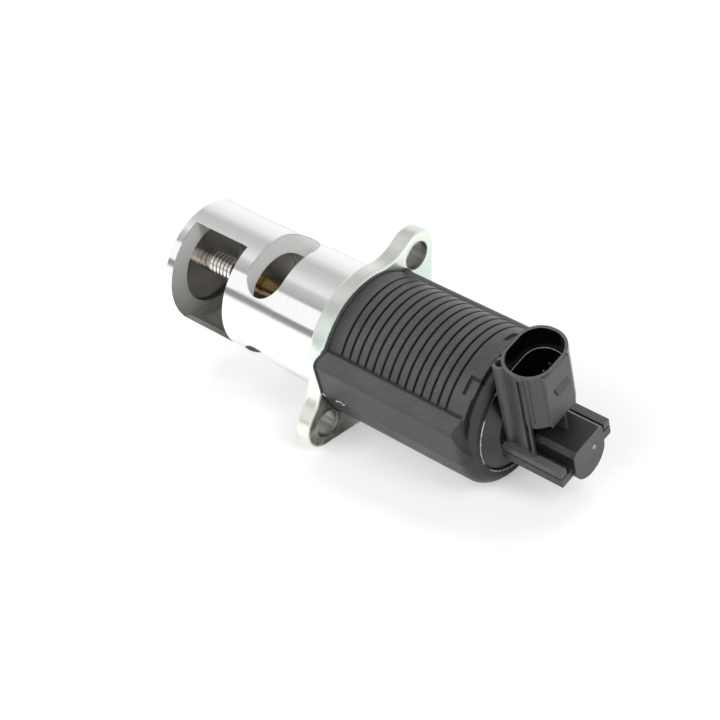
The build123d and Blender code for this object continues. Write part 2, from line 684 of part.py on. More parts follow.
sensor_spring = coil_spring(carrier_back, cavity_end, SENSOR_SPRING_R, SENSOR_WIRE, SENSOR_TURNS)
finish("sensor_spring", sensor_spring)
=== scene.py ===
"""Looks for an electric exhaust gas recirculation valve.

The valve lies along X with its gas end at -X. The connector leans about the valve's axis by ROLL. Sizes are in
metres. Effects and finishes come first, then the sub-assemblies, then the studio, and main() puts them together.
"""
from contextlib import contextmanager
from dataclasses import dataclass, field
from enum import Enum
from functools import reduce
import logging
import math
from typing import Callable, Iterable, Iterator

import bmesh
import bpy
from mathutils import Matrix, Vector


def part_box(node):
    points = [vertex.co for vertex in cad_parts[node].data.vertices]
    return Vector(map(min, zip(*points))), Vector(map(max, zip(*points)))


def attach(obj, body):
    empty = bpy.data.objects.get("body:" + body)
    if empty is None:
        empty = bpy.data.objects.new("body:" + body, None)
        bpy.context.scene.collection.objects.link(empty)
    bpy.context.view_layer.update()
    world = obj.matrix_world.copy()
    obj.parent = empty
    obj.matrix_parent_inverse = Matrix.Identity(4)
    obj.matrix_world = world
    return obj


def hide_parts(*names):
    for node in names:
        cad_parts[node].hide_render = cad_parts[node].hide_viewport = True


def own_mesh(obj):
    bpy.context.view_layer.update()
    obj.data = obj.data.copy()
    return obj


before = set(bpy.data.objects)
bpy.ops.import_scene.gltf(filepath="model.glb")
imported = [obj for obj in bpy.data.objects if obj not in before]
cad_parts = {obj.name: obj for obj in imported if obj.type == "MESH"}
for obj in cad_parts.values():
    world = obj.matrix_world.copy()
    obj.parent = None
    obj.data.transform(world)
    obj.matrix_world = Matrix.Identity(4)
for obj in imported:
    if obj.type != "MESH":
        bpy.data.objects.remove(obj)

logging.basicConfig(level=logging.INFO, format="%(name)s: %(message)s")
LOG = logging.getLogger("egr_valve")

MM = 0.001
NEAR = MM / 100  # how close to a place a part has to be to count as lying there
DOUBLES = 0.000002  # corners closer than this are merged
ROLL = math.radians(16.0)
SOCKET_X = 60.8  # the socket's middle along the valve, in millimetres
BOLT_LINE = math.radians(27.7)  # the line through the bolt holes, from the connector's width
BEVEL_SAMPLES = 6
Triple = tuple[float, float, float]
Colour = Triple
Socket = bpy.types.NodeSocket
Sockets = dict[str, Socket]
Value = Socket | float
Paint = Socket | Colour


class Body(Enum):
    """The CAD bodies that a new piece can ride on."""

    FIXED = "valve_body"
    VALVE = "valve"


class Part(Enum):
    """The kinds of mesh part that can be picked in edit mode."""

    VERT = "VERT"
    EDGE = "EDGE"
    FACE = "FACE"


# Shader building


def opaque(colour: Paint) -> Paint | tuple[float, ...]:
    """Adds an alpha of one to a plain colour and passes a socket through."""
    return colour if isinstance(colour, Socket) else (*colour, 1.0)


class NodeSheet:
    """A node tree with short ways to place nodes and join them."""

    def __init__(self, tree: bpy.types.NodeTree) -> None:
        """Keeps the tree."""
        self.tree = tree

    @classmethod
    def blank(cls, holder: bpy.types.Material | bpy.types.World) -> "NodeSheet":
        """Turns on a material's or a world's nodes and empties them.

        Args:
            holder: The material or the world.

        Returns:
            Its empty sheet.
        """
        holder.use_nodes = True
        holder.node_tree.nodes.clear()
        return cls(holder.node_tree)

    def feed(self, node: bpy.types.Node, feeds: dict) -> None:
        """Feeds a node's inputs.

        Args:
            node: The node.
            feeds: Input name or number to a value, or to the output socket that feeds it.
        """
        for socket, value in feeds.items():
            if isinstance(value, Socket):
                self.tree.links.new(value, node.inputs[socket])
            else:
                node.inputs[socket].default_value = value

    def put(self, kind: str, feeds: dict | None = None, **settings: object) -> bpy.types.Node:
        """Adds a node, sets it up and feeds its inputs.

        Args:
            kind: The node's type name.
            feeds: What its inputs get.
            settings: Properties of the node.

        Returns:
            The new node.
        """
        node = self.tree.nodes.new(kind)
        for name, value in settings.items():
            setattr(node, name, value)
        self.feed(node, feeds or {})
        return node

    def math(self, operation: str, *values: Value) -> Socket:
        """Adds a Math node and gives its result."""
        return self.put("ShaderNodeMath", dict(enumerate(values)), operation=operation).outputs[0]

    def times(self, *values: Value) -> Socket:
        """Multiplies any number of values, from left to right."""
        return reduce(lambda total, value: self.math("MULTIPLY", total, value), values)

    def highest(self, *values: Value) -> Socket:
        """Gives the highest of any number of values."""
        return reduce(lambda most, value: self.math("MAXIMUM", most, value), values)

    def length(self, first: Socket, second: Socket) -> Socket:
        """Gives the length of a flat vector from its two parts."""
        return self.math("SQRT", self.math("ADD", self.times(first, first), self.times(second, second)))

    def within(self, value: Socket, low: Value, high: Value) -> Socket:
        """Gives one where a value lies between two limits, and nothing elsewhere."""
        return self.times(self.math("GREATER_THAN", value, low), self.math("LESS_THAN", value, high))

    def place(self) -> Socket:
        """Gives the place on the piece."""
        return self.put("ShaderNodeTexCoord").outputs["Object"]

    def facing(self) -> Socket:
        """Gives the way the surface faces."""
        return self.put("ShaderNodeNewGeometry").outputs["Normal"]

    def parts(self, vector: Socket) -> tuple[Socket, ...]:
        """Splits a vector into x, y and z."""
        return tuple(self.put("ShaderNodeSeparateXYZ", {0: vector}).outputs)

    def levelled(self, place: Socket) -> tuple[Socket, ...]:
        """Gives a place along, across and up the leaning connector."""
        turned = self.put("ShaderNodeVectorRotate", {"Vector": place, "Angle": -ROLL}, rotation_type="X_AXIS")
        return self.parts(turned.outputs[0])

    def rounded(self, radius: Value) -> Socket:
        """Gives the way the surface faces when its sharp edges are rounded."""
        return self.put("ShaderNodeBevel", {"Radius": radius}, samples=BEVEL_SAMPLES).outputs["Normal"]

    def noise(self, vector: Socket, scale: Value, detail: float = 3.0, rough: float = 0.5) -> Socket:
        """Adds a noise pattern.

        Args:
            vector: Where the pattern is read.
            scale: Waves to the metre.
            detail: Octaves.
            rough: Strength of the finer octaves.

        Returns:
            The pattern's value.
        """
        node = self.put("ShaderNodeTexNoise",
                        {"Vector": vector, "Scale": scale, "Detail": detail, "Roughness": rough})
        return node.outputs["Fac"]

    def stretch(self, value: Socket, low: Value, high: Value, out_low: float = 0.0,
                out_high: float = 1.0) -> Socket:
        """Adds a clamped Map Range node.

        Args:
            value: The number to map.
            low: What becomes out_low.
            high: What becomes out_high.
            out_low: The result at low.
            out_high: The result at high.

        Returns:
            The mapped value.
        """
        node = self.put("ShaderNodeMapRange", {"Value": value, "From Min": low, "From Max": high,
                                               "To Min": out_low, "To Max": out_high})
        return node.outputs["Result"]

    def blend(self, share: Value, first: Paint, second: Paint) -> Socket:
        """Mixes two colours.

        Args:
            share: How much of the second colour shows.
            first: The first colour.
            second: The second colour.

        Returns:
            The mixed colour.
        """
        node = self.put("ShaderNodeMix", {0: share, 6: opaque(first), 7: opaque(second)}, data_type="RGBA")
        return node.outputs[2]

    def seen(self) -> tuple[Socket, Socket]:
        """Tells the rays that show a thing as it looks from those that only carry light.

        Returns:
            The mask of camera, glossy and transmission rays, and the mask of camera rays alone.
        """
        rays = self.put("ShaderNodeLightPath").outputs
        shown = self.math("ADD", rays["Is Camera Ray"], rays["Is Glossy Ray"])
        shown = self.math("MINIMUM", self.math("ADD", shown, rays["Is Transmission Ray"]), 1.0)
        return shown, rays["Is Camera Ray"]


@dataclass(frozen=True)
class Effect:
    """A shader node group that more than one finish can use, built once.

    Its inputs have their usual values, and fill places its nodes: it gets the sheet and the input sockets, and
    gives the output sockets.
    """

    name: str
    inputs: dict[str, float]
    outputs: tuple[str, ...]
    fill: Callable[[NodeSheet, Sockets], Sockets]

    def tree(self) -> bpy.types.NodeTree:
        """Gives the group, and builds it the first time.

        Returns:
            The node group.
        """
        found = bpy.data.node_groups.get(self.name)
        if found is not None:
            return found
        made = bpy.data.node_groups.new(self.name, "ShaderNodeTree")
        for label, usual in self.inputs.items():
            made.interface.new_socket(label, in_out="INPUT", socket_type="NodeSocketFloat").default_value = usual
        for label in self.outputs:
            made.interface.new_socket(label, in_out="OUTPUT", socket_type="NodeSocketFloat")
        sheet = NodeSheet(made)
        entry = sheet.put("NodeGroupInput").outputs
        sheet.put("NodeGroupOutput", self.fill(sheet, {label: entry[label] for label in self.inputs}))
        return made

    def on(self, sheet: NodeSheet, **values: float) -> bpy.types.NodeOutputs:
        """Places the group in a material with its own values, and gives its outputs."""
        return sheet.put("ShaderNodeGroup", values, node_tree=self.tree()).outputs


def fill_lathe_marks(sheet: NodeSheet, given: Sockets) -> Sockets:
    """Draws the fine rings left by a lathe, on the barrel and on the faces alike.

    Args:
        sheet: The group's nodes.
        given: Lines to the metre, and how far they drift in a turn.

    Returns:
        The rings' height and tone.
    """
    x, y, z = sheet.parts(sheet.place())
    along = sheet.math("ADD", x, sheet.length(y, z))
    turn = sheet.math("ARCTAN2", z, y)
    ring = sheet.put("ShaderNodeCombineXYZ", {0: sheet.times(along, given["Lines"]),
                                              1: sheet.times(turn, given["Drift"])}).outputs[0]
    both = sheet.math("ADD", sheet.times(sheet.noise(ring, 1.0, 2.0), 0.6),
                      sheet.times(sheet.noise(ring, 0.18, 2.0), 0.4))
    return {"Height": both, "Tone": sheet.stretch(both, 0.35, 0.65)}


def fill_moulded_grain(sheet: NodeSheet, given: Sockets) -> Sockets:
    """Draws the fine spark-eroded grain of a moulded face, with slow patches of gloss.

    Args:
        sheet: The group's nodes.
        given: Grains and patches to the metre.

    Returns:
        The grain's height, the patches and the specks.
    """
    place = sheet.place()
    fine = sheet.noise(place, given["Grain"], 4.0, 0.65)
    cells = sheet.put("ShaderNodeTexVoronoi", {"Vector": place, "Scale": given["Grain"]}).outputs["Distance"]
    return {"Height": sheet.math("ADD", fine, sheet.times(cells, 0.5)),
            "Patch": sheet.stretch(sheet.noise(place, given["Patch"], 3.0, 0.55), 0.35, 0.68),
            "Speck": sheet.stretch(fine, 0.56, 0.74)}


def fill_milled_cut(sheet: NodeSheet, given: Sockets) -> Sockets:
    """Finds where a turned piece is cut open under its skin, with the cutter's marks and a painted shade that darkens
    it towards the bottom.

    Args:
        sheet: The group's nodes.
        given: The radius of the turned skin, and of the bore.

    Returns:
        The cut, the part of it outside the bore, the frost's height, and how much painted shade it gets, more towards
        the bottom.
    """
    shade_reach = 12.0 * MM
    place = sheet.place()
    _, y, z = sheet.parts(place)
    radius = sheet.length(y, z)
    frost = sheet.noise(place, 5200.0, 3.0, 0.6)
    cloudy = sheet.stretch(sheet.math("ADD", frost, sheet.noise(place, 240.0, 3.0, 0.55)), 0.6, 1.3, 0.75, 1.0)
    inside = sheet.math("LESS_THAN", radius, given["Skin"])
    # Tone is painted shade: the cut faces darken from the top down, as if lit from above.
    return {"Mask": inside, "Wall": sheet.times(inside, sheet.math("GREATER_THAN", radius, given["Bore"])),
            "Height": sheet.times(frost, inside),
            "Tone": sheet.times(sheet.stretch(z, shade_reach, -shade_reach), cloudy)}


def fill_socket_inside(sheet: NodeSheet, given: Sockets) -> Sockets:
    """Finds where the cap gets painted shade and a smoother polish: the socket's inside, as a box that leans with it,
    and the disc.

    Args:
        sheet: The group's nodes.
        given: The box's sizes and cut corner, and where the disc ends.

    Returns:
        The mask.
    """
    disc_share = 0.8
    x, across, up = sheet.levelled(sheet.place())
    along = sheet.math("ABSOLUTE", sheet.math("SUBTRACT", x, SOCKET_X * MM))
    aside = sheet.math("ABSOLUTE", across)
    socket = sheet.times(sheet.math("LESS_THAN", along, given["Half length"]),
                         sheet.math("LESS_THAN", aside, given["Half width"]),
                         sheet.within(up, given["Floor"], given["Mouth"]),
                         sheet.math("LESS_THAN", sheet.math("ADD", along, aside), given["Corner"]))
    disc = sheet.math("LESS_THAN", x, given["Disc"])
    # Both the deep socket and the recessed disc get painted shade.
    return {"Mask": sheet.highest(socket, sheet.times(disc, disc_share))}


def fill_rib_shade(sheet: NodeSheet, given: Sockets) -> Sockets:
    """Finds where the housing gets painted shade: ribs' grooves, the crease by the shelf, the flange's side, notches,
    collar.

    Args:
        sheet: The group's nodes.
        given: Where the grooves, the shelf and the notches are.

    Returns:
        The mask.
    """
    waver, line_out, line_in = 0.06 * MM, 0.56 * MM, 0.24 * MM
    crease_out, crease_in, shelf_clear = 0.75 * MM, 0.25 * MM, 0.1 * MM
    recess_end, recess_from, recess_share = 9.2 * MM, 5.8 * MM, 0.8
    notch_turn, collar_full, collar_share = 0.032, 50.8 * MM, 0.7
    place = sheet.place()
    x, y, z = sheet.parts(place)
    _, across, up = sheet.levelled(place)
    radius = sheet.length(y, z)
    under_crest = sheet.math("LESS_THAN", radius, given["Crest"])
    count = sheet.math("DIVIDE", sheet.math("SUBTRACT", x, given["First"]), given["Pitch"])
    nearest = sheet.math("MINIMUM", sheet.math("MAXIMUM", sheet.math("ROUND", count), 0.0), given["Last"])
    aside = sheet.times(sheet.math("ABSOLUTE", sheet.math("SUBTRACT", count, nearest)), given["Pitch"])
    ragged = sheet.math("ADD", aside, sheet.stretch(sheet.noise(place, 900.0), 0.3, 0.7, -waver, waver))
    line = sheet.times(sheet.stretch(ragged, line_out, line_in), under_crest)
    over = sheet.math("SUBTRACT", up, given["Shelf"])
    inner = sheet.math("ADD", across, given["Crease"])
    crease = sheet.times(sheet.stretch(sheet.length(over, inner), crease_out, crease_in),
                         sheet.math("LESS_THAN", x, given["Shelf end"]))
    recess = sheet.times(sheet.stretch(x, recess_end, recess_from, 0.0, recess_share),
                         sheet.math("GREATER_THAN", over, shelf_clear), under_crest)
    turn = sheet.math("ABSOLUTE", sheet.math("SUBTRACT", sheet.math("ARCTAN2", up, across), given["Notch top"]))
    edges = sheet.highest(sheet.math("LESS_THAN", turn, notch_turn), sheet.math("LESS_THAN", x, given["Notch side"]))
    notch = sheet.times(sheet.math("LESS_THAN", radius, given["Notch"]),
                        sheet.within(x, given["Notch from"], given["Notch to"]), edges)
    collar = sheet.stretch(x, given["Notch to"], collar_full, 0.0, collar_share)
    # The whole mask is painted shade: grooves, crease, the recess by the flange, notches and collar.
    return {"Mask": sheet.highest(line, crease, collar, recess, notch)}


def fill_edge_wear_and_sheen(sheet: NodeSheet, given: Sockets) -> Sockets:
    """Draws a broken mask along sharp edges, for wear, and on the plastics also for a painted sheen highlight.

    Args:
        sheet: The group's nodes.
        given: How far from the edge the wear reaches, and its patches to the metre.

    Returns:
        The mask.
    """
    turned = sheet.put("ShaderNodeVectorMath", {0: sheet.rounded(given["Reach"]), 1: sheet.facing()},
                       operation="DOT_PRODUCT")
    edge = sheet.stretch(turned.outputs["Value"], 0.995, 0.86)
    patches = sheet.stretch(sheet.noise(sheet.place(), given["Patch"], 4.0, 0.6), 0.42, 0.62)
    return {"Mask": sheet.times(edge, patches)}


def fill_settled_dust(sheet: NodeSheet, given: Sockets) -> Sockets:
    """Draws a thin film of dust on faces that look up.

    Args:
        sheet: The group's nodes.
        given: How much dust there is, and its patches to the metre.

    Returns:
        The mask.
    """
    up = sheet.stretch(sheet.parts(sheet.facing())[2], -0.1, 0.9)
    film = sheet.stretch(sheet.noise(sheet.place(), given["Patch"], 5.0, 0.62), 0.4, 0.8)
    return {"Mask": sheet.times(up, film, given["Amount"])}


LATHE_MARKS = Effect("lathe_marks", {"Lines": 9000.0, "Drift": 0.6}, ("Height", "Tone"), fill_lathe_marks)
MOULDED_GRAIN = Effect("moulded_grain", {"Grain": 4200.0, "Patch": 90.0}, ("Height", "Patch", "Speck"),
                       fill_moulded_grain)
MILLED_CUT = Effect("milled_cut", {"Skin": 17.1 * MM, "Bore": 11.5 * MM}, ("Mask", "Wall", "Height", "Tone"),
                    fill_milled_cut)
SOCKET_INSIDE = Effect("socket_inside", {
    "Half length": 5.93 * MM, "Half width": 7.73 * MM, "Floor": 11.5 * MM, "Mouth": 27.9 * MM, "Corner": 11.2 * MM,
    "Disc": 54.3 * MM}, ("Mask",), fill_socket_inside)
RIB_SHADE = Effect("rib_painted_shade", {
    "First": 9.9 * MM, "Pitch": 2.55 * MM, "Last": 13.0, "Crest": 19.16 * MM, "Shelf": 11.4 * MM,
    "Crease": 15.32 * MM, "Shelf end": 48.0 * MM, "Notch": 18.85 * MM, "Notch from": 45.5 * MM,
    "Notch to": 48.9 * MM, "Notch side": 46.6 * MM, "Notch top": math.radians(112.6)}, ("Mask",), fill_rib_shade)
EDGE_WEAR_AND_SHEEN = Effect("edge_wear_and_sheen", {"Reach": 0.3 * MM, "Patch": 420.0}, ("Mask",), fill_edge_wear_and_sheen)
SETTLED_DUST = Effect("settled_dust", {"Amount": 0.3, "Patch": 60.0}, ("Mask",), fill_settled_dust)


# Finishes


@dataclass(frozen=True)
class Finish:
    """What every finish has: a name, its colour and its plain roughness."""

    name: str
    colour: Colour
    roughness: float = 0.45

    def material(self) -> bpy.types.Material:
        """Gives the finish's material, and builds it the first time.

        Returns:
            The material.
        """
        found = bpy.data.materials.get(self.name)
        if found is not None:
            return found
        made = bpy.data.materials.new(self.name)
        made.diffuse_color = opaque(self.colour)
        sheet = NodeSheet.blank(made)
        shader = sheet.put("ShaderNodeBsdfPrincipled", {"Base Color": opaque(self.colour),
                                                        "Roughness": self.roughness})
        self.dress(sheet, shader)
        sheet.put("ShaderNodeOutputMaterial", {"Surface": shader.outputs[0]})
        return made

    def dress(self, sheet: NodeSheet, shader: bpy.types.Node) -> None:
        """Adds the finish's own nodes to the material's sheet and its Principled shader. The plain one has none."""

    @staticmethod
    def bump(sheet: NodeSheet, shader: bpy.types.Node, height: Socket, depth: float, edge: float = 0.0) -> None:
        """Feeds a height to the shader's normal.

        Args:
            sheet: The material's nodes.
            shader: The shader.
            height: The pattern's height.
            depth: How deep the pattern is.
            edge: Radius that sharp edges are rounded to in the shading.
        """
        feeds = {"Strength": 1.0, "Distance": depth, "Height": height}
        if edge:
            feeds["Normal"] = sheet.rounded(edge)
        sheet.feed(shader, {"Normal": sheet.put("ShaderNodeBump", feeds).outputs["Normal"]})


@dataclass(frozen=True)
class TurnedMetal(Finish):
    """Bare metal off the lathe, with rings across the axis and a few dull patches."""

    lines: float = 9000.0
    depth: float = 0.000004
    tint: Colour = (0.62, 0.62, 0.64)
    spread: float = 0.12
    skin: float = 0.0
    milled: Colour = (0.94, 0.94, 0.93)
    painted_shade_low: Colour = (0.24, 0.235, 0.22)
    rounding: float = 0.12 * MM
    ring_share: float = 0.55
    frost_rough: float = 0.3
    frost_dull: float = 0.95
    frost_depth: float = 1.6

    def dress(self, sheet: NodeSheet, shader: bpy.types.Node) -> None:
        """Puts lathe rings in the colour, the roughness and the bump, and frosts what is cut open under the skin,
        with painted shade on its lower part.

        Args:
            sheet: The material's nodes.
            shader: Its Principled shader.
        """
        marks = LATHE_MARKS.on(sheet, Lines=self.lines)
        grain = MOULDED_GRAIN.on(sheet, Grain=2500.0, Patch=70.0)
        rings = sheet.times(marks["Tone"], self.ring_share)
        colour = self.stained(sheet, sheet.blend(rings, self.colour, self.tint))
        rough = sheet.stretch(sheet.math("ADD", marks["Tone"], grain["Patch"]), 0.0, 2.0,
                              self.roughness - self.spread / 2, self.roughness + self.spread)
        height, metal = marks["Height"], 1.0
        if self.skin:
            cut = MILLED_CUT.on(sheet, Skin=self.skin)
            # The cut faces go from the milled colour at the top to painted shade at the bottom.
            colour = sheet.blend(cut["Mask"], colour, sheet.blend(cut["Tone"], self.milled, self.painted_shade_low))
            rough = sheet.math("ADD", rough, sheet.times(cut["Mask"], self.frost_rough))
            metal = sheet.math("SUBTRACT", 1.0, sheet.times(cut["Wall"], self.frost_dull))
            height = sheet.math("ADD", height, sheet.times(cut["Height"], self.frost_depth))
        sheet.feed(shader, {"Metallic": metal, "Base Color": colour, "Roughness": rough})
        self.bump(sheet, shader, height, self.depth, self.rounding)

    def stained(self, sheet: NodeSheet, colour: Socket) -> Socket:
        """Gives the colour back as it is: plain turned metal has no stains."""
        return colour


@dataclass(frozen=True)
class SootedThread(TurnedMetal):
    """Stem steel with soot in its thread and a brown heat tint on the part between the discs."""

    soot: Colour = (0.016, 0.014, 0.012)
    root: float = 2.45 * MM
    crest: float = 3.15 * MM
    thread_from: float = -53.3 * MM
    thread_to: float = -42.8 * MM
    tempered: Colour = (0.50, 0.34, 0.15)
    tint_from: float = -42.5 * MM
    tint_to: float = -38.0 * MM

    def stained(self, sheet: NodeSheet, colour: Socket) -> Socket:
        """Adds the heat tint by place along the stem, and the soot by depth in the thread.

        Args:
            sheet: The material's nodes.
            colour: The metal's colour.

        Returns:
            The stained colour.
        """
        x, y, z = sheet.parts(sheet.place())
        tint = sheet.stretch(x, self.tint_from, self.tint_to)
        soot = sheet.times(sheet.stretch(sheet.length(y, z), self.crest, self.root),
                           sheet.within(x, self.thread_from, self.thread_to))
        return sheet.blend(soot, sheet.blend(tint, colour, self.tempered), self.soot)


@dataclass(frozen=True)
class ZincPlate(Finish):
    """Zinc plating with a yellow-green passivation film, duller along rubbed edges, with a painted dark reflection on
    the low ear and painted shade in the bolt holes.
    """

    warm: Colour = (0.86, 0.84, 0.68)
    cool: Colour = (0.72, 0.85, 0.76)
    steel: Colour = (0.36, 0.37, 0.34)
    # Painted dark reflection on the near ear's rear face, of the shadowed floor it faces.
    ear_shade: Colour = (0.105, 0.108, 0.072)
    ear_shade_from: float = -10.5 * MM
    ear_shade_to: float = -17.5 * MM
    # Painted shade in the bolt holes' bores.
    bore: Colour = (0.26, 0.26, 0.24)
    hole_place: float = 24.5 * MM
    hole_reach: float = 4.1 * MM
    depth: float = 0.000006
    wear: float = 0.8
    spread: float = 0.14

    def dress(self, sheet: NodeSheet, shader: bpy.types.Node) -> None:
        """Adds film tints that drift over the plate, rubbed edges and a faint orange peel, with painted shade on the
        low ear and in the bolt holes.

        Args:
            sheet: The material's nodes.
            shader: Its Principled shader.
        """
        grain = MOULDED_GRAIN.on(sheet, Grain=1400.0, Patch=55.0)
        wear = EDGE_WEAR_AND_SHEEN.on(sheet, Reach=0.4 * MM, Patch=380.0)
        place = sheet.place()
        film = sheet.blend(sheet.stretch(sheet.noise(place, 38.0), 0.38, 0.62), self.warm, self.cool)
        plate = self.shade_ear_and_bores(sheet, place, sheet.blend(grain["Patch"], self.colour, film))
        sheet.feed(shader, {
            "Metallic": 1.0, "Base Color": sheet.blend(sheet.times(wear["Mask"], self.wear), plate, self.steel),
            "Roughness": sheet.stretch(grain["Patch"], 0.0, 1.0, self.roughness, self.roughness + self.spread)})
        self.bump(sheet, shader, grain["Height"], self.depth)

    def shade_ear_and_bores(self, sheet: NodeSheet, place: Socket, plate: Socket) -> Socket:
        """Paints a dark reflection of the shadowed floor on the near ear's rear face, and painted shade in the bores
        of the bolt holes.

        Args:
            sheet: The material's nodes.
            place: The place on the piece.
            plate: The plating's colour.

        Returns:
            The colour with the painted reflection and shade.
        """
        _, across, up = sheet.levelled(place)
        # Painted dark reflection: the near ear's rear face darkens where it would mirror the shadowed floor.
        ear = sheet.stretch(across, self.ear_shade_from, self.ear_shade_to)
        rear = sheet.stretch(sheet.parts(sheet.facing())[0], 0.6, 0.95)
        brown = sheet.times(ear, rear, sheet.stretch(sheet.noise(place, 260.0, 4.0, 0.6), 0.3, 0.62, 0.62, 1.0))
        # Painted shade: the bores of both bolt holes are darkened.
        aside = sheet.math("SUBTRACT", sheet.math("ABSOLUTE", across), self.hole_place * math.cos(BOLT_LINE))
        above = sheet.math("SUBTRACT", sheet.times(up, sheet.math("SIGN", across)),
                           self.hole_place * math.sin(BOLT_LINE))
        bored = sheet.math("LESS_THAN", sheet.length(aside, above), self.hole_reach)
        return sheet.blend(bored, sheet.blend(brown, plate, self.ear_shade), self.bore)


@dataclass(frozen=True)
class MouldedPlastic(Finish):
    """Glass-filled black plastic: fine grain, slow gloss patches, pale edges that are partly wear and partly a
    painted sheen highlight, and a little dust.
    """

    grain: float = 4200.0
    depth: float = 0.000012
    worn_and_sheen: Colour = (0.16, 0.16, 0.165)
    dusty: Colour = (0.22, 0.22, 0.22)
    rib_shade_dark: Colour = (0.004, 0.004, 0.004)
    polished: Colour = (0.0025, 0.0025, 0.0027)
    wear: float = 0.5
    dust: float = 0.25
    gloss: float = 0.5
    socket: bool = False
    ribs: bool = False
    rounding: float = 0.2 * MM
    sheen: float = 1.35
    speck_share: float = 0.45
    rib_shade_share: float = 0.9
    dust_rough: float = 0.4
    polish: float = 0.2

    def dress(self, sheet: NodeSheet, shader: bpy.types.Node) -> None:
        """Adds grain, pale edges that are partly a painted sheen, and dust over the base, and painted shade in the
        housing's ribs or in the cap's socket, which is also smoother.

        Args:
            sheet: The material's nodes.
            shader: Its Principled shader.
        """
        grain = MOULDED_GRAIN.on(sheet, Grain=self.grain, Patch=85.0)
        wear = EDGE_WEAR_AND_SHEEN.on(sheet, Reach=0.22 * MM, Patch=500.0)
        dust = SETTLED_DUST.on(sheet, Amount=self.dust)
        base = sheet.blend(grain["Patch"], self.colour, tuple(self.sheen * part for part in self.colour))
        base = sheet.blend(sheet.times(grain["Speck"], self.speck_share), base, self.worn_and_sheen)
        # Pale edges: partly real wear, partly a painted sheen highlight along the edges.
        base = sheet.blend(sheet.times(wear["Mask"], self.wear), base, self.worn_and_sheen)
        base = sheet.blend(dust["Mask"], base, self.dusty)
        if self.ribs:
            # Painted shade darkens the ribs' grooves, the shelf's crease, the recess by the flange, the notches and
            # the collar.
            base = sheet.blend(sheet.times(RIB_SHADE.on(sheet)["Mask"], self.rib_shade_share), base, self.rib_shade_dark)
        rough = sheet.stretch(grain["Patch"], 0.0, 1.0, self.roughness - 0.05, self.roughness + 0.08)
        rough = sheet.math("ADD", rough, sheet.times(dust["Mask"], self.dust_rough))
        if self.socket:
            inside = SOCKET_INSIDE.on(sheet)["Mask"]
            # Painted shade: the socket's inside and the disc are darkened to near black; only the lower roughness is
            # a real polish.
            base = sheet.blend(inside, base, self.polished)
            rough = sheet.math("SUBTRACT", rough, sheet.times(inside, self.polish))
        sheet.feed(shader, {"Base Color": base, "Roughness": rough, "Specular IOR Level": self.gloss})
        self.bump(sheet, shader, grain["Height"], self.depth, self.rounding)


@dataclass(frozen=True)
class RaggedFlash(Finish):
    """Thin ragged plastic along a parting edge, with pale patches that are a painted highlight along the mouth's rim.
    """

    pale_highlight: Colour = (0.90, 0.90, 0.91)
    depth: float = 0.03 * MM

    def dress(self, sheet: NodeSheet, shader: bpy.types.Node) -> None:
        """Adds pale broken patches over the black, as a painted highlight.

        Args:
            sheet: The material's nodes.
            shader: Its Principled shader.
        """
        place = sheet.place()
        slow = sheet.stretch(sheet.noise(place, 150.0, 2.0), 0.40, 0.50)
        fine = sheet.stretch(sheet.noise(place, 1500.0, 4.0, 0.7), 0.36, 0.52)
        sheet.feed(shader, {"Base Color": sheet.blend(sheet.times(slow, fine), self.colour, self.pale_highlight)})
        self.bump(sheet, shader, sheet.noise(place, 3000.0), self.depth)


@dataclass(frozen=True)
class Rubber(Finish):
    """Plain moulded rubber."""

    dusty: Colour = (0.15, 0.15, 0.15)
    dust: float = 0.4
    depth: float = 0.01 * MM

    def dress(self, sheet: NodeSheet, shader: bpy.types.Node) -> None:
        """Adds a soft grain and a little dust.

        Args:
            sheet: The material's nodes.
            shader: Its Principled shader.
        """
        grain = MOULDED_GRAIN.on(sheet, Grain=3000.0, Patch=120.0)
        dust = SETTLED_DUST.on(sheet, Amount=self.dust)
        sheet.feed(shader, {"Base Color": sheet.blend(dust["Mask"], self.colour, self.dusty)})
        self.bump(sheet, shader, grain["Height"], self.depth)


@dataclass(frozen=True)
class WoundWire(Finish):
    """Enamelled copper, wound in close turns."""

    enamel: Colour = (0.42, 0.16, 0.05)
    depth: float = 0.06 * MM

    def dress(self, sheet: NodeSheet, shader: bpy.types.Node) -> None:
        """Puts rings of wire in the bump and a drifting enamel tone in the colour.

        Args:
            sheet: The material's nodes.
            shader: Its Principled shader.
        """
        marks = LATHE_MARKS.on(sheet, Lines=3200.0, Drift=0.1)
        sheet.feed(shader, {"Metallic": 0.8, "Base Color": sheet.blend(marks["Tone"], self.colour, self.enamel)})
        self.bump(sheet, shader, marks["Height"], self.depth)


CARTRIDGE_METAL = TurnedMetal("turned_cartridge_metal", (0.98, 0.975, 0.97), 0.085, tint=(0.92, 0.92, 0.93),
                              spread=0.05, skin=17.15 * MM)
STEM_STEEL = TurnedMetal("ground_stem_steel", (0.70, 0.64, 0.56), 0.22, lines=14000.0, tint=(0.60, 0.54, 0.46))
THREAD_STEEL = SootedThread("sooted_thread_steel", (0.90, 0.87, 0.83), 0.2, lines=14000.0, tint=(0.80, 0.76, 0.70))
DISC_STEEL = TurnedMetal("turned_disc_steel", (0.52, 0.50, 0.47), 0.13, lines=7000.0, tint=(0.36, 0.34, 0.32),
                         spread=0.07)
TINTED_STEEL = TurnedMetal("heat_tinted_steel", (0.74, 0.64, 0.54), 0.2, lines=8000.0, tint=(0.60, 0.50, 0.40))
TEMPERED_STEEL = TurnedMetal("brown_tempered_steel", (0.62, 0.44, 0.20), 0.2, lines=8000.0, tint=(0.44, 0.30, 0.13))
SOFT_IRON = TurnedMetal("plain_soft_iron", (0.42, 0.42, 0.42), 0.38, lines=5000.0)
BRONZE = TurnedMetal("sintered_bronze", (0.52, 0.34, 0.16), 0.36, lines=6000.0, tint=(0.36, 0.22, 0.10))
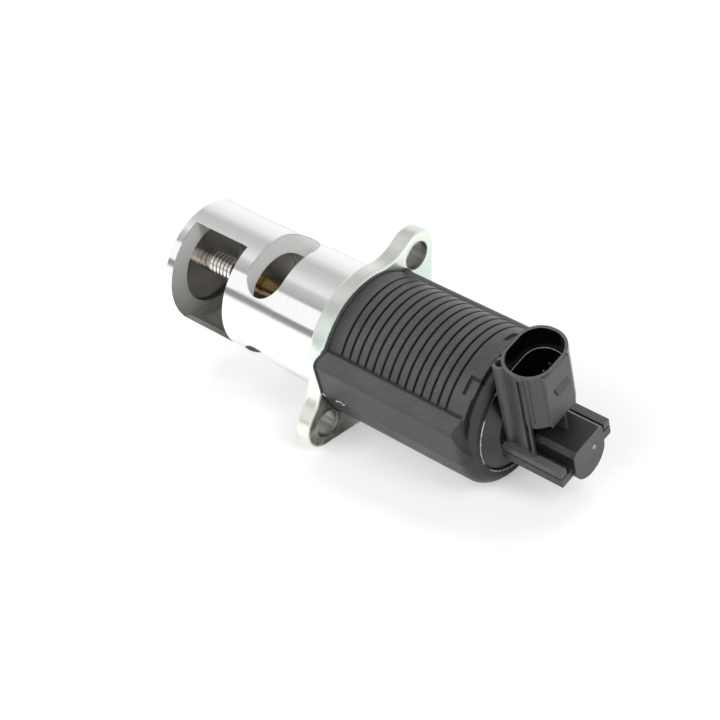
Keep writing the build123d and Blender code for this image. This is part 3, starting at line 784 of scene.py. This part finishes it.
TINNED = TurnedMetal("tinned_terminal", (0.74, 0.74, 0.72), 0.22, lines=5000.0)
FLANGE_ZINC = ZincPlate("passivated_zinc_flange", (0.88, 0.90, 0.85), 0.27)
HOUSING_PLASTIC = MouldedPlastic("ribbed_housing_plastic", (0.038, 0.038, 0.0405), 0.40, grain=2000.0,
                                 depth=0.04 * MM, wear=0.9, dust=0.12, ribs=True, rounding=0.5 * MM)
CAP_PLASTIC = MouldedPlastic("sensor_cap_plastic", (0.062, 0.062, 0.064), 0.34, grain=2600.0, depth=0.02 * MM,
                             wear=0.9, dust=0.06, socket=True)
COVER_PLASTIC = MouldedPlastic("sensor_cover_plastic", (0.010, 0.010, 0.0105), 0.34, grain=4800.0, wear=0.9,
                               dust=0.03, gloss=0.6)
FLASH_PLASTIC = RaggedFlash("ragged_mould_flash", (0.03, 0.03, 0.03), 0.5)
# Pale plastic: the slivers' own pale colour, and a painted highlight on the gate mark.
PALE_SNAPPED_AND_HIGHLIGHT_PLASTIC = MouldedPlastic("snapped_plastic_and_painted_highlight", (0.62, 0.62, 0.63), 0.5, wear=0.0, dust=0.0)
# Pale plastic on the socket's ledge lip is a painted highlight.
LIP_PLASTIC = MouldedPlastic("lip_plastic_painted_highlight", (0.30, 0.30, 0.31), 0.2, wear=0.0, dust=0.0)
NATURAL_PLASTIC = MouldedPlastic("natural_bobbin_plastic", (0.28, 0.25, 0.19), 0.42, dust=0.05)
SEAL_RUBBER = Rubber("black_seal_rubber", (0.018, 0.018, 0.019), 0.6)
COPPER_WIRE = WoundWire("enamelled_copper_wire", (0.55, 0.24, 0.09), 0.3)

NODE_FINISHES: dict[str, Finish] = {
    "cartridge_body": CARTRIDGE_METAL, "guide_bush": BRONZE, "stem_seal": SEAL_RUBBER,
    "mounting_flange": FLANGE_ZINC, "valve_stem": STEM_STEEL, "end_valve_disc": DISC_STEEL,
    "inner_valve_disc": DISC_STEEL, "end_disc_collar": TINTED_STEEL, "inner_disc_hub": TEMPERED_STEEL,
    "pole_core": SOFT_IRON, "armature_sleeve": STEM_STEEL, "coil_bobbin": NATURAL_PLASTIC,
    "coil_winding": COPPER_WIRE, "yoke_can": SOFT_IRON, "yoke_end_plate": SOFT_IRON, "stop_shim": BRONZE,
    "armature": SOFT_IRON, "spring_cup": STEM_STEEL, "stem_clip": STEM_STEEL, "return_spring": STEM_STEEL,
    "coil_housing": HOUSING_PLASTIC, "housing_gasket": SEAL_RUBBER, "sensor_cap": CAP_PLASTIC,
    "cap_seal_ring": SEAL_RUBBER, "terminal_pins": TINNED, "sensor_cover": COVER_PLASTIC,
    "sensor_track": NATURAL_PLASTIC, "wiper_carrier": NATURAL_PLASTIC, "wiper_fingers": BRONZE,
    "sensor_plunger": NATURAL_PLASTIC, "sensor_spring": STEM_STEEL}


# Pieces


def in_frame(x: float, across: float, up: float) -> Vector:
    """Turns millimetres along, across and up the leaning connector into a place in metres."""
    return Vector((x, across * math.cos(ROLL) - up * math.sin(ROLL),
                   across * math.sin(ROLL) + up * math.cos(ROLL))) * MM


def on_axis(x: float) -> Vector:
    """Gives the place on the valve's axis at x."""
    return Vector((x, 0.0, 0.0))


def from_axis(place: Vector) -> float:
    """Gives a place's distance from the valve's axis."""
    return math.hypot(place.y, place.z)


class Bench:
    """The steps that every modelled piece goes through."""

    @classmethod
    def start(cls, name: str, add: Callable, size: Triple = (1.0, 1.0, 1.0), **settings: object) -> bpy.types.Object:
        """Adds a primitive at its place and moves its place and size into its mesh.

        Args:
            name: The piece's name.
            add: The operator that adds it.
            size: How many times as large it is made, along its own axes.
            settings: The operator's settings.

        Returns:
            The new object.
        """
        bpy.ops.object.select_all(action="DESELECT")
        add(**settings)
        piece = bpy.context.object
        piece.name = piece.data.name = name
        piece.scale = size
        bpy.ops.object.transform_apply(location=True, rotation=True, scale=True)
        return piece

    @classmethod
    def bar(cls, name: str, vertices: int, radius: float, length: float, middle: Vector) -> bpy.types.Object:
        """Starts a round bar that lies along the valve."""
        return cls.start(name, bpy.ops.mesh.primitive_cylinder_add, vertices=vertices, radius=radius, depth=length,
                         location=middle, rotation=(0.0, math.pi / 2, 0.0))

    @classmethod
    def wire_end(cls, name: str, x: float, radius: float, wire: float) -> bpy.types.Object:
        """Starts the outline of a wire of this half thickness, at x along the valve and above its axis."""
        return cls.start(name, bpy.ops.mesh.primitive_circle_add, vertices=8, radius=wire, fill_type="NOTHING",
                         location=(x, 0.0, radius), rotation=(math.pi / 2, 0.0, 0.0))

    @classmethod
    def coil(cls, name: str, x: float, radius: float, wire: float, pitch: float, turns: int) -> bpy.types.Object:
        """Winds a closed round-wire coil about the valve's axis.

        Args:
            name: The coil's name.
            x: Where along the axis the first turn's middle is.
            radius: From the axis to the wire's middle.
            wire: The wire's half thickness.
            pitch: How far apart the turns are.
            turns: How many turns it has.

        Returns:
            The coil.
        """
        coil = cls.wire_end(name, x, radius, wire)
        cls.modify(coil, "SCREW", axis="X", angle=2 * math.pi, screw_offset=pitch, steps=32, render_steps=32,
                   iterations=turns)
        with cls.editing():
            bpy.ops.mesh.remove_doubles(threshold=DOUBLES)
            bpy.ops.mesh.fill_holes(sides=8)
        return coil

    @staticmethod
    @contextmanager
    def editing(weld: bool = True) -> Iterator[None]:
        """Opens the active piece in edit mode with all of it picked, and closes it after the work.

        Args:
            weld: Whether doubles are merged and faces pointed outwards over the whole mesh at the end.

        Yields:
            Nothing.
        """
        bpy.ops.object.mode_set(mode="EDIT")
        bpy.ops.mesh.select_all(action="SELECT")
        yield
        if weld:
            bpy.ops.mesh.select_all(action="SELECT")
            bpy.ops.mesh.remove_doubles(threshold=DOUBLES)
            bpy.ops.mesh.normals_make_consistent(inside=False)
        bpy.ops.object.mode_set(mode="OBJECT")

    @staticmethod
    def pick(piece: bpy.types.Object, kind: Part, test: Callable[[Vector, Vector], bool]) -> None:
        """Selects parts of the mesh in edit mode.

        Args:
            piece: The object in edit mode.
            kind: The kind of part.
            test: Says whether a part is meant, from its middle and, for a face, its normal.
        """
        bpy.ops.mesh.select_mode(type=kind.value)
        bpy.ops.mesh.select_all(action="DESELECT")
        grid = bmesh.from_edit_mesh(piece.data)
        parts = {Part.VERT: grid.verts, Part.EDGE: grid.edges, Part.FACE: grid.faces}[kind]
        for part in parts:
            corners = [part] if kind is Part.VERT else list(part.verts)
            middle = sum((corner.co for corner in corners), Vector()) / len(corners)
            if test(middle, part.normal if kind is Part.FACE else middle):
                part.select_set(True)
        grid.select_flush_mode()
        bmesh.update_edit_mesh(piece.data)

    @staticmethod
    def lengthen(step: float, scale: float = 1.0, middle: float | None = None) -> None:
        """Extrudes the picked faces along the valve and may make them larger or smaller round its axis.

        Args:
            step: How far the new faces move.
            scale: Their size against the old ones.
            middle: Where on the axis they are resized.
        """
        bpy.ops.mesh.extrude_region_move(TRANSFORM_OT_translate={"value": on_axis(step)})
        if middle is not None:
            bpy.ops.transform.resize(value=(1.0, scale, scale), center_override=on_axis(middle))

    @staticmethod
    def modify(piece: bpy.types.Object, kind: str, **settings: object) -> None:
        """Adds a modifier and applies it.

        Args:
            piece: The object.
            kind: The modifier's type.
            settings: Its settings.
        """
        bpy.context.view_layer.objects.active = piece
        made = piece.modifiers.new(kind.lower(), kind)
        for name, value in settings.items():
            setattr(made, name, value)
        bpy.ops.object.modifier_apply(modifier=made.name)

    @staticmethod
    def hold(*pieces: bpy.types.Object) -> None:
        """Selects only these pieces and makes the last one active.

        Args:
            pieces: The objects.
        """
        bpy.ops.object.select_all(action="DESELECT")
        for piece in pieces:
            piece.select_set(True)
            bpy.context.view_layer.objects.active = piece

    @classmethod
    def give(cls, piece: bpy.types.Object, body: Body, finish: Finish, angle: float = 35.0) -> None:
        """Smooths a finished piece, gives it its finish and puts it on its body.

        Args:
            piece: The object.
            body: The CAD body that it moves with.
            finish: Its finish.
            angle: The sharpest edge, in degrees, that is still shaded smooth.
        """
        cls.hold(piece)
        bpy.ops.object.shade_smooth_by_angle(angle=math.radians(angle))
        piece.data.materials.clear()
        piece.data.materials.append(finish.material())
        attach(piece, body.value)
        LOG.info("%s rides on %s with the finish %s", piece.name, body.value, finish.name)


@dataclass
class Stem:
    """The valve's stem with the cut thread that holds its end disc, and the collar on the disc."""

    shaft_r: float = 2.5 * MM
    root_r: float = 2.4 * MM
    crest_r: float = 3.35 * MM
    head_r: float = 3.6 * MM
    tail: float = 41.85 * MM
    run_out: float = -42.75 * MM
    run_out_l: float = 0.25 * MM
    under_disc: float = -53.35 * MM
    head_t: float = 0.5 * MM
    tail_edge: float = 0.35 * MM
    head_edge: float = 0.15 * MM
    pitch: float = 1.25 * MM
    turns: int = 8
    seat_face: float = -51.75 * MM
    collar_r: float = 3.3 * MM
    collar_l: float = 1.3 * MM
    taper_l: float = 0.55 * MM
    taper_share: float = 0.9
    rim: float = 0.25 * MM
    dish: float = 0.12 * MM
    collar_edge: float = 0.12 * MM

    def build(self) -> None:
        """Makes the stem and its collar and dresses them."""
        self.collar()
        stem = self.shaft()
        Bench.hold(self.thread(), stem)
        bpy.ops.object.join()
        Bench.give(stem, Body.VALVE, THREAD_STEEL)
        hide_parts("valve_stem")

    def collar(self) -> None:
        """Turns the nut-like collar that stands on the end disc and tapers towards the thread."""
        collar = Bench.bar("end_disc_lock_collar", 56, self.collar_r, self.collar_l,
                           on_axis(self.seat_face + self.collar_l / 2))
        with Bench.editing():
            Bench.pick(collar, Part.FACE, lambda middle, normal: normal.x > 0.9)
            Bench.lengthen(self.taper_l, self.taper_share, self.seat_face + self.collar_l)
            bpy.ops.mesh.inset(thickness=self.rim)
            Bench.lengthen(-self.dish)
            Bench.pick(collar, Part.EDGE, lambda middle, _: from_axis(middle) > self.collar_r * 0.99 and
                       abs(middle.x - self.seat_face) < NEAR)
            bpy.ops.mesh.bevel(offset=self.collar_edge, segments=2)
        Bench.give(collar, Body.VALVE, TINTED_STEEL, 25.0)
        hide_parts("end_disc_collar")

    def shaft(self) -> bpy.types.Object:
        """Turns the shaft from a round bar: a neck for the thread, a riveted head and a chamfered tail.

        Returns:
            The shaft.
        """
        stem = Bench.bar("threaded_stem", 48, self.shaft_r, self.tail - self.run_out,
                         on_axis((self.tail + self.run_out) / 2))
        neck = self.run_out - self.run_out_l
        with Bench.editing():
            Bench.pick(stem, Part.FACE, lambda middle, normal: normal.x < -0.9)
            Bench.lengthen(neck - self.run_out, self.root_r / self.shaft_r, neck)
            Bench.lengthen(self.under_disc - neck)
            Bench.lengthen(0.0, self.head_r / self.root_r, self.under_disc)
            Bench.lengthen(-self.head_t)
            Bench.pick(stem, Part.EDGE, lambda middle, _: middle.x > self.tail - NEAR)
            bpy.ops.mesh.bevel(offset=self.tail_edge, segments=2)
            Bench.pick(stem, Part.EDGE, lambda middle, _: middle.x < self.under_disc - self.head_t + NEAR)
            bpy.ops.mesh.bevel(offset=self.head_edge, segments=2)
        return stem

    def thread(self) -> bpy.types.Object:
        """Winds the thread's round ridge, which overlaps from turn to turn, round the neck."""
        return Bench.coil("thread_ridge", self.under_disc + self.pitch / 2, self.root_r, self.crest_r - self.root_r,
                          self.pitch, self.turns)


@dataclass
class ReturnSpring:
    """The spring that closes the valve. It gets shorter as the valve opens."""

    radius: float = 4.5 * MM
    wire: float = 0.44 * MM
    turns: int = 7
    play: float = 0.03 * MM
    lift: float = 5.5 * MM

    def build(self) -> None:
        """Winds the spring between the pole core's pocket and the spring cup, on the fixed body, with a mesh of its
        own.
        """
        low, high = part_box("return_spring")
        anchor = low[0] + self.play
        length = high[0] - self.play - anchor
        spring = Bench.coil("return_spring_coil", anchor + self.wire, self.radius, self.wire,
                            (length - 2 * self.wire) / self.turns, self.turns)
        Bench.give(spring, Body.FIXED, STEM_STEEL)
        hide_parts("return_spring")
        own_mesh(spring)


@dataclass
class FlangeTrim:
    """The rolled lips of the bolt holes and the gasket's squeezed-out edge, whose black also stands for painted shade
    in the joint.
    """

    bolt_circle: float = 24.5
    thickness: float = 4.8
    hole_r: float = 3.9 * MM
    lip_r: float = 0.17 * MM
    lip_flare: float = 1.012
    squeeze_from: float = 4.83 * MM
    squeeze_to: float = 5.5 * MM
    squeeze_t: float = 0.22 * MM
    bore_r: float = 18.6 * MM

    def build(self) -> None:
        """Makes the lips and the gasket's edge and dresses them."""
        for side, turn in (("far", 0.0), ("near", math.pi)):
            self.lip(f"{side}_bolt_hole_lip", BOLT_LINE + turn)
        self.gasket_edge()

    def lip(self, name: str, angle: float) -> None:
        """Makes the lip round the rear end of a bolt hole, pushed out where the punch left it.

        Args:
            name: The piece's name.
            angle: Where the hole is, from the connector's width.
        """
        middle = in_frame(self.thickness, self.bolt_circle * math.cos(angle), self.bolt_circle * math.sin(angle))
        ring = Bench.start(name, bpy.ops.mesh.primitive_torus_add, major_radius=self.hole_r + self.lip_r / 2,
                           minor_radius=self.lip_r, major_segments=56, minor_segments=8, location=middle,
                           rotation=(0.0, math.pi / 2, 0.0))
        with Bench.editing():
            Bench.pick(ring, Part.VERT, lambda place, _: place.x - middle.x > self.lip_r / 3)
            bpy.ops.transform.resize(value=(1.0, self.lip_flare, self.lip_flare), center_override=middle)
        Bench.give(ring, Body.FIXED, FLANGE_ZINC)

    def gasket_edge(self) -> None:
        """Cuts a thin slice of the housing's outline and thickens it into the gasket's edge, a black ring that also
        stands for painted shade in the joint.
        """
        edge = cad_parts["coil_housing"].copy()
        edge.data = edge.data.copy()
        edge.name = edge.data.name = "gasket_edge_and_joint_shade"
        bpy.context.scene.collection.objects.link(edge)
        Bench.hold(edge)
        with Bench.editing(weld=False):
            bpy.ops.mesh.remove_doubles(threshold=DOUBLES)
            bpy.ops.mesh.bisect(plane_co=on_axis(self.squeeze_from), plane_no=on_axis(1.0), clear_inner=True)
            bpy.ops.mesh.select_all(action="SELECT")
            bpy.ops.mesh.bisect(plane_co=on_axis(self.squeeze_to), plane_no=on_axis(1.0), clear_outer=True)
            Bench.pick(edge, Part.FACE, lambda middle, normal: from_axis(middle) < self.bore_r or abs(normal.x) > 0.7)
            bpy.ops.mesh.delete(type="FACE")
        Bench.modify(edge, "SOLIDIFY", thickness=self.squeeze_t, offset=1.0)
        Bench.give(edge, Body.FIXED, SEAL_RUBBER)


@dataclass
class MouldMarks:
    """What the mould leaves on the black plastic: flash round the mouth, a gate mark, slivers and a ledge lip; the
    flash's pale patches, the gate mark and the lip carry painted highlights.

    Places that lean with the connector are in millimetres.
    """

    mouth_x: float = 52.28 * MM
    mouth_r: float = 15.62 * MM
    flash_t: float = 0.16 * MM
    flash_wave: float = 0.9 * MM
    flash_rise: float = 0.22 * MM
    gate: Triple = (73.0, 1.84, -1.75)
    gate_r: float = 0.62 * MM
    gate_t: float = 0.3 * MM
    gate_rim: float = 0.2 * MM
    gate_crater: float = 0.1 * MM
    gate_edge: float = 0.05 * MM
    slivers: tuple[Triple, ...] = ((6.0, -0.2, 0.5), (10.7, 0.1, -0.3), (11.7, 0.3, 0.2), (12.7, 0.0, -0.6))
    sliver_l: float = 1.3 * MM
    sliver_r: tuple[float, float] = (0.2 * MM, 0.06 * MM)
    sliver_twist: float = 0.3
    sliver_straight: float = 0.25 * MM
    sliver_curl: Triple = (0.0, -0.12, 0.1)
    shell_face: float = -20.78
    ledge: Triple = (SOCKET_X, 0.0, 21.4)
    ledge_half: tuple[float, float] = (5.4 * MM, 7.2 * MM)
    ledge_corner: float = 5.1 * MM
    ledge_lip: float = 0.09 * MM

    def build(self) -> None:
        """Makes the marks and dresses them."""
        self.mouth_flash()
        self.gate_mark()
        self.shell_slivers()
        self.socket_ledge()

    def mouth_flash(self) -> None:
        """Spins a thin bead round the housing's mouth and roughens it."""
        flash = Bench.wire_end("mouth_flash_line", self.mouth_x, self.mouth_r, self.flash_t)
        with Bench.editing():
            bpy.ops.mesh.spin(steps=240, angle=2 * math.pi, center=on_axis(self.mouth_x), axis=on_axis(1.0))
        ragged = bpy.data.textures.new("flash_ragged", "CLOUDS")
        ragged.noise_scale = self.flash_wave
        Bench.modify(flash, "DISPLACE", texture=ragged, texture_coords="LOCAL", strength=self.flash_rise,
                     mid_level=0.5)
        # The flash bead is real; its pale patches are a painted highlight along the rim.
        Bench.give(flash, Body.FIXED, FLASH_PLASTIC, 60.0)

    def gate_mark(self) -> None:
        """Makes the snapped-off gate on the cover's end: a low stub with a crater, whose pale finish is a painted
        highlight.
        """
        place = in_frame(*self.gate)
        stub = Bench.bar("boss_gate_mark", 28, self.gate_r, self.gate_t, place)
        with Bench.editing():
            Bench.pick(stub, Part.FACE, lambda middle, normal: normal.x > 0.9)
            bpy.ops.mesh.inset(thickness=self.gate_rim)
            Bench.lengthen(-self.gate_crater)
            Bench.pick(stub, Part.EDGE, lambda middle, _: middle.x > place.x + self.gate_t / 2 - NEAR)
            bpy.ops.mesh.bevel(offset=self.gate_edge, segments=2)
        Bench.give(stub, Body.FIXED, PALE_SNAPPED_AND_HIGHLIGHT_PLASTIC)

    def shell_slivers(self) -> None:
        """Leaves a few curled slivers of flash on the shell's low edge by the flange."""
        for number, (x, up, lean) in enumerate(self.slivers, 1):
            place = in_frame(x, self.shell_face, up)
            sliver = Bench.start(f"shell_flash_sliver_{number}", bpy.ops.mesh.primitive_cone_add, vertices=6,
                                 radius1=self.sliver_r[0], radius2=self.sliver_r[1], depth=self.sliver_l,
                                 location=place, rotation=(0.0, math.pi / 2 + lean, self.sliver_twist * lean))
            with Bench.editing():
                bpy.ops.mesh.subdivide(number_cuts=3, smoothness=0.0)
                Bench.pick(sliver, Part.VERT, lambda spot, _: abs(spot.x - place.x) > self.sliver_straight)
                bpy.ops.transform.translate(value=in_frame(*self.sliver_curl))
            Bench.give(sliver, Body.FIXED, PALE_SNAPPED_AND_HIGHLIGHT_PLASTIC)

    def socket_ledge(self) -> None:
        """Runs a rounded lip along the step inside the socket, in pale plastic that is a painted highlight."""
        Bench.start("socket_ledge_lip", bpy.ops.mesh.primitive_plane_add, size=(*self.ledge_half, 1.0),
                    location=in_frame(*self.ledge), rotation=(ROLL, 0.0, 0.0))
        with Bench.editing(weld=False):
            bpy.ops.mesh.bevel(offset=self.ledge_corner, segments=10, affect="VERTICES")
            bpy.ops.mesh.select_all(action="SELECT")
            bpy.ops.mesh.delete(type="ONLY_FACE")
        bpy.ops.object.convert(target="CURVE")
        line = bpy.context.object.data
        line.bevel_depth = self.ledge_lip
        line.bevel_resolution = 2
        bpy.ops.object.convert(target="MESH")
        Bench.give(bpy.context.object, Body.FIXED, LIP_PLASTIC)


# Studio


@dataclass
class SoftBox:
    """One soft lamp."""

    name: str
    direction: Triple
    distance: float
    width: float
    length: float
    watts: float

    def place(self) -> None:
        """Adds the lamp, turned to the valve and hidden from glossy rays, which see the tent."""
        lamp = bpy.data.lights.new(self.name, "AREA")
        lamp.shape = "RECTANGLE"
        lamp.size, lamp.size_y = self.length, self.width
        lamp.energy = self.watts
        made = bpy.data.objects.new(self.name, lamp)
        bpy.context.scene.collection.objects.link(made)
        made.visible_glossy = False
        out = Vector(self.direction).normalized()
        side = out.cross(on_axis(1.0)).normalized()
        turn = Matrix((side.cross(out), side, out)).transposed().to_4x4()
        made.matrix_world = Matrix.Translation(out * self.distance) @ turn


@dataclass
class Studio:
    """The pale floor, the light tent round it, the lamps and the camera.

    The tent is given as pairs of an angle round the valve, in degrees, and the brightness there.
    """

    camera_place: Triple = (0.27424, -0.31904, 0.30185)
    azimuth: float = 0.708764
    elevation: float = 0.636303
    lens: float = 100.0
    low_front: tuple[float, float] = (0.0038, -0.0251)
    low_rear: tuple[float, float] = (0.0490, -0.0203)
    floor_size: float = 12.0
    floor_shown: float = 0.95
    floor_lighting: float = 0.12
    white_share: float = 0.42
    world_light: float = 0.26
    tent: tuple[tuple[float, float], ...] = (
        (-180.0, 0.34), (-176.5, 1.0), (0.0, 1.0), (24.0, 0.97), (44.0, 0.84), (62.0, 0.54), (80.0, 0.58),
        (96.0, 0.74), (106.0, 0.82), (114.0, 0.56), (133.0, 0.40), (136.0, 1.0), (167.5, 1.0), (170.5, 0.24),
        (180.0, 0.34))
    lamps: list[SoftBox] = field(default_factory=lambda: [
        SoftBox("overhead_panel", (-0.18, 0.40, 0.89), 2.4, 1.2, 1.6, 27.0),
        SoftBox("front_panel", (-0.16, -0.80, 0.57), 2.2, 1.4, 2.0, 40.0),
        SoftBox("rear_fill", (0.56, -0.24, 0.79), 2.4, 1.0, 1.2, 24.0)])

    def build(self) -> None:
        """Adds the floor, the world, the lamps and the camera."""
        self.floor()
        self.world()
        for lamp in self.lamps:
            lamp.place()
        view = bpy.data.cameras.new("camera")
        view.lens = self.lens
        view.sensor_width = 36.0
        view.clip_start, view.clip_end = 0.01, 100.0
        camera = bpy.data.objects.new("camera", view)
        bpy.context.scene.collection.objects.link(camera)
        camera.location = self.camera_place
        camera.rotation_euler = (math.pi / 2 - self.elevation, 0.0, self.azimuth)
        bpy.context.scene.camera = camera
        bpy.context.scene.view_settings.view_transform = "Standard"

    def floor(self) -> None:
        """Lays the floor under the two places the valve rests on: the flange's low edge and the housing's rear."""
        (x_front, z_front), (x_rear, z_rear) = self.low_front, self.low_rear
        slope = (z_rear - z_front) / (x_rear - x_front)
        bpy.ops.mesh.primitive_plane_add(size=self.floor_size, location=(0.0, 0.0, z_front - slope * x_front),
                                         rotation=(0.0, -math.atan(slope), 0.0))
        ground = bpy.context.object
        ground.name = "floor"
        material = bpy.data.materials.new("pale_floor")
        sheet = NodeSheet.blank(material)
        shown, camera = sheet.seen()
        shade = sheet.blend(shown, (self.floor_lighting,) * 3, (self.floor_shown,) * 3)
        paper = sheet.put("ShaderNodeBsdfDiffuse", {"Color": shade})
        white = sheet.put("ShaderNodeEmission", {"Color": opaque((1.0, 1.0, 1.0)), "Strength": 1.0})
        both = sheet.put("ShaderNodeMixShader", {0: sheet.times(camera, self.white_share), 1: paper.outputs[0],
                                                 2: white.outputs[0]})
        sheet.put("ShaderNodeOutputMaterial", {"Surface": both.outputs[0]})
        ground.data.materials.append(material)

    def world(self) -> None:
        """Makes a light tent of long panels that run along the valve, with grey gaps between them."""
        world = bpy.data.worlds.new("light_tent")
        bpy.context.scene.world = world
        sheet = NodeSheet.blank(world)
        _, y, z = sheet.parts(sheet.put("ShaderNodeTexCoord").outputs["Generated"])
        ramp = sheet.put("ShaderNodeValToRGB", {0: sheet.stretch(sheet.math("ARCTAN2", z, y), -math.pi, math.pi)})
        stops = ramp.color_ramp.elements
        for number, (angle, level) in enumerate(self.tent):
            place = (angle + 180.0) / 360.0
            stop = stops[number] if number < 2 else stops.new(place)
            stop.position = place
            stop.color = opaque((level,) * 3)
        shown = sheet.put("ShaderNodeBackground", {"Color": ramp.outputs[0], "Strength": 1.0})
        light = sheet.put("ShaderNodeBackground", {"Color": opaque((1.0, 1.0, 1.0)), "Strength": self.world_light})
        mixed = sheet.put("ShaderNodeMixShader", {0: sheet.seen()[0], 1: light.outputs[0], 2: shown.outputs[0]})
        sheet.put("ShaderNodeOutputWorld", {"Surface": mixed.outputs[0]})


def dress_nodes(nodes: dict[str, bpy.types.Object]) -> None:
    """Gives every carried-over solid its finish.

    Args:
        nodes: The solids by name.
    """
    for name, solid in nodes.items():
        finish = NODE_FINISHES[name]
        solid.data.materials.clear()
        solid.data.materials.append(finish.material())
        LOG.info("%s has the finish %s", name, finish.name)


def main() -> None:
    """Dresses the valve, adds its fine pieces and sets up the studio."""
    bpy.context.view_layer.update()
    dress_nodes(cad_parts)
    for assembly in (Stem(), ReturnSpring(), FlangeTrim(), MouldMarks()):
        assembly.build()
    Studio().build()


if __name__ == "__main__":
    main()
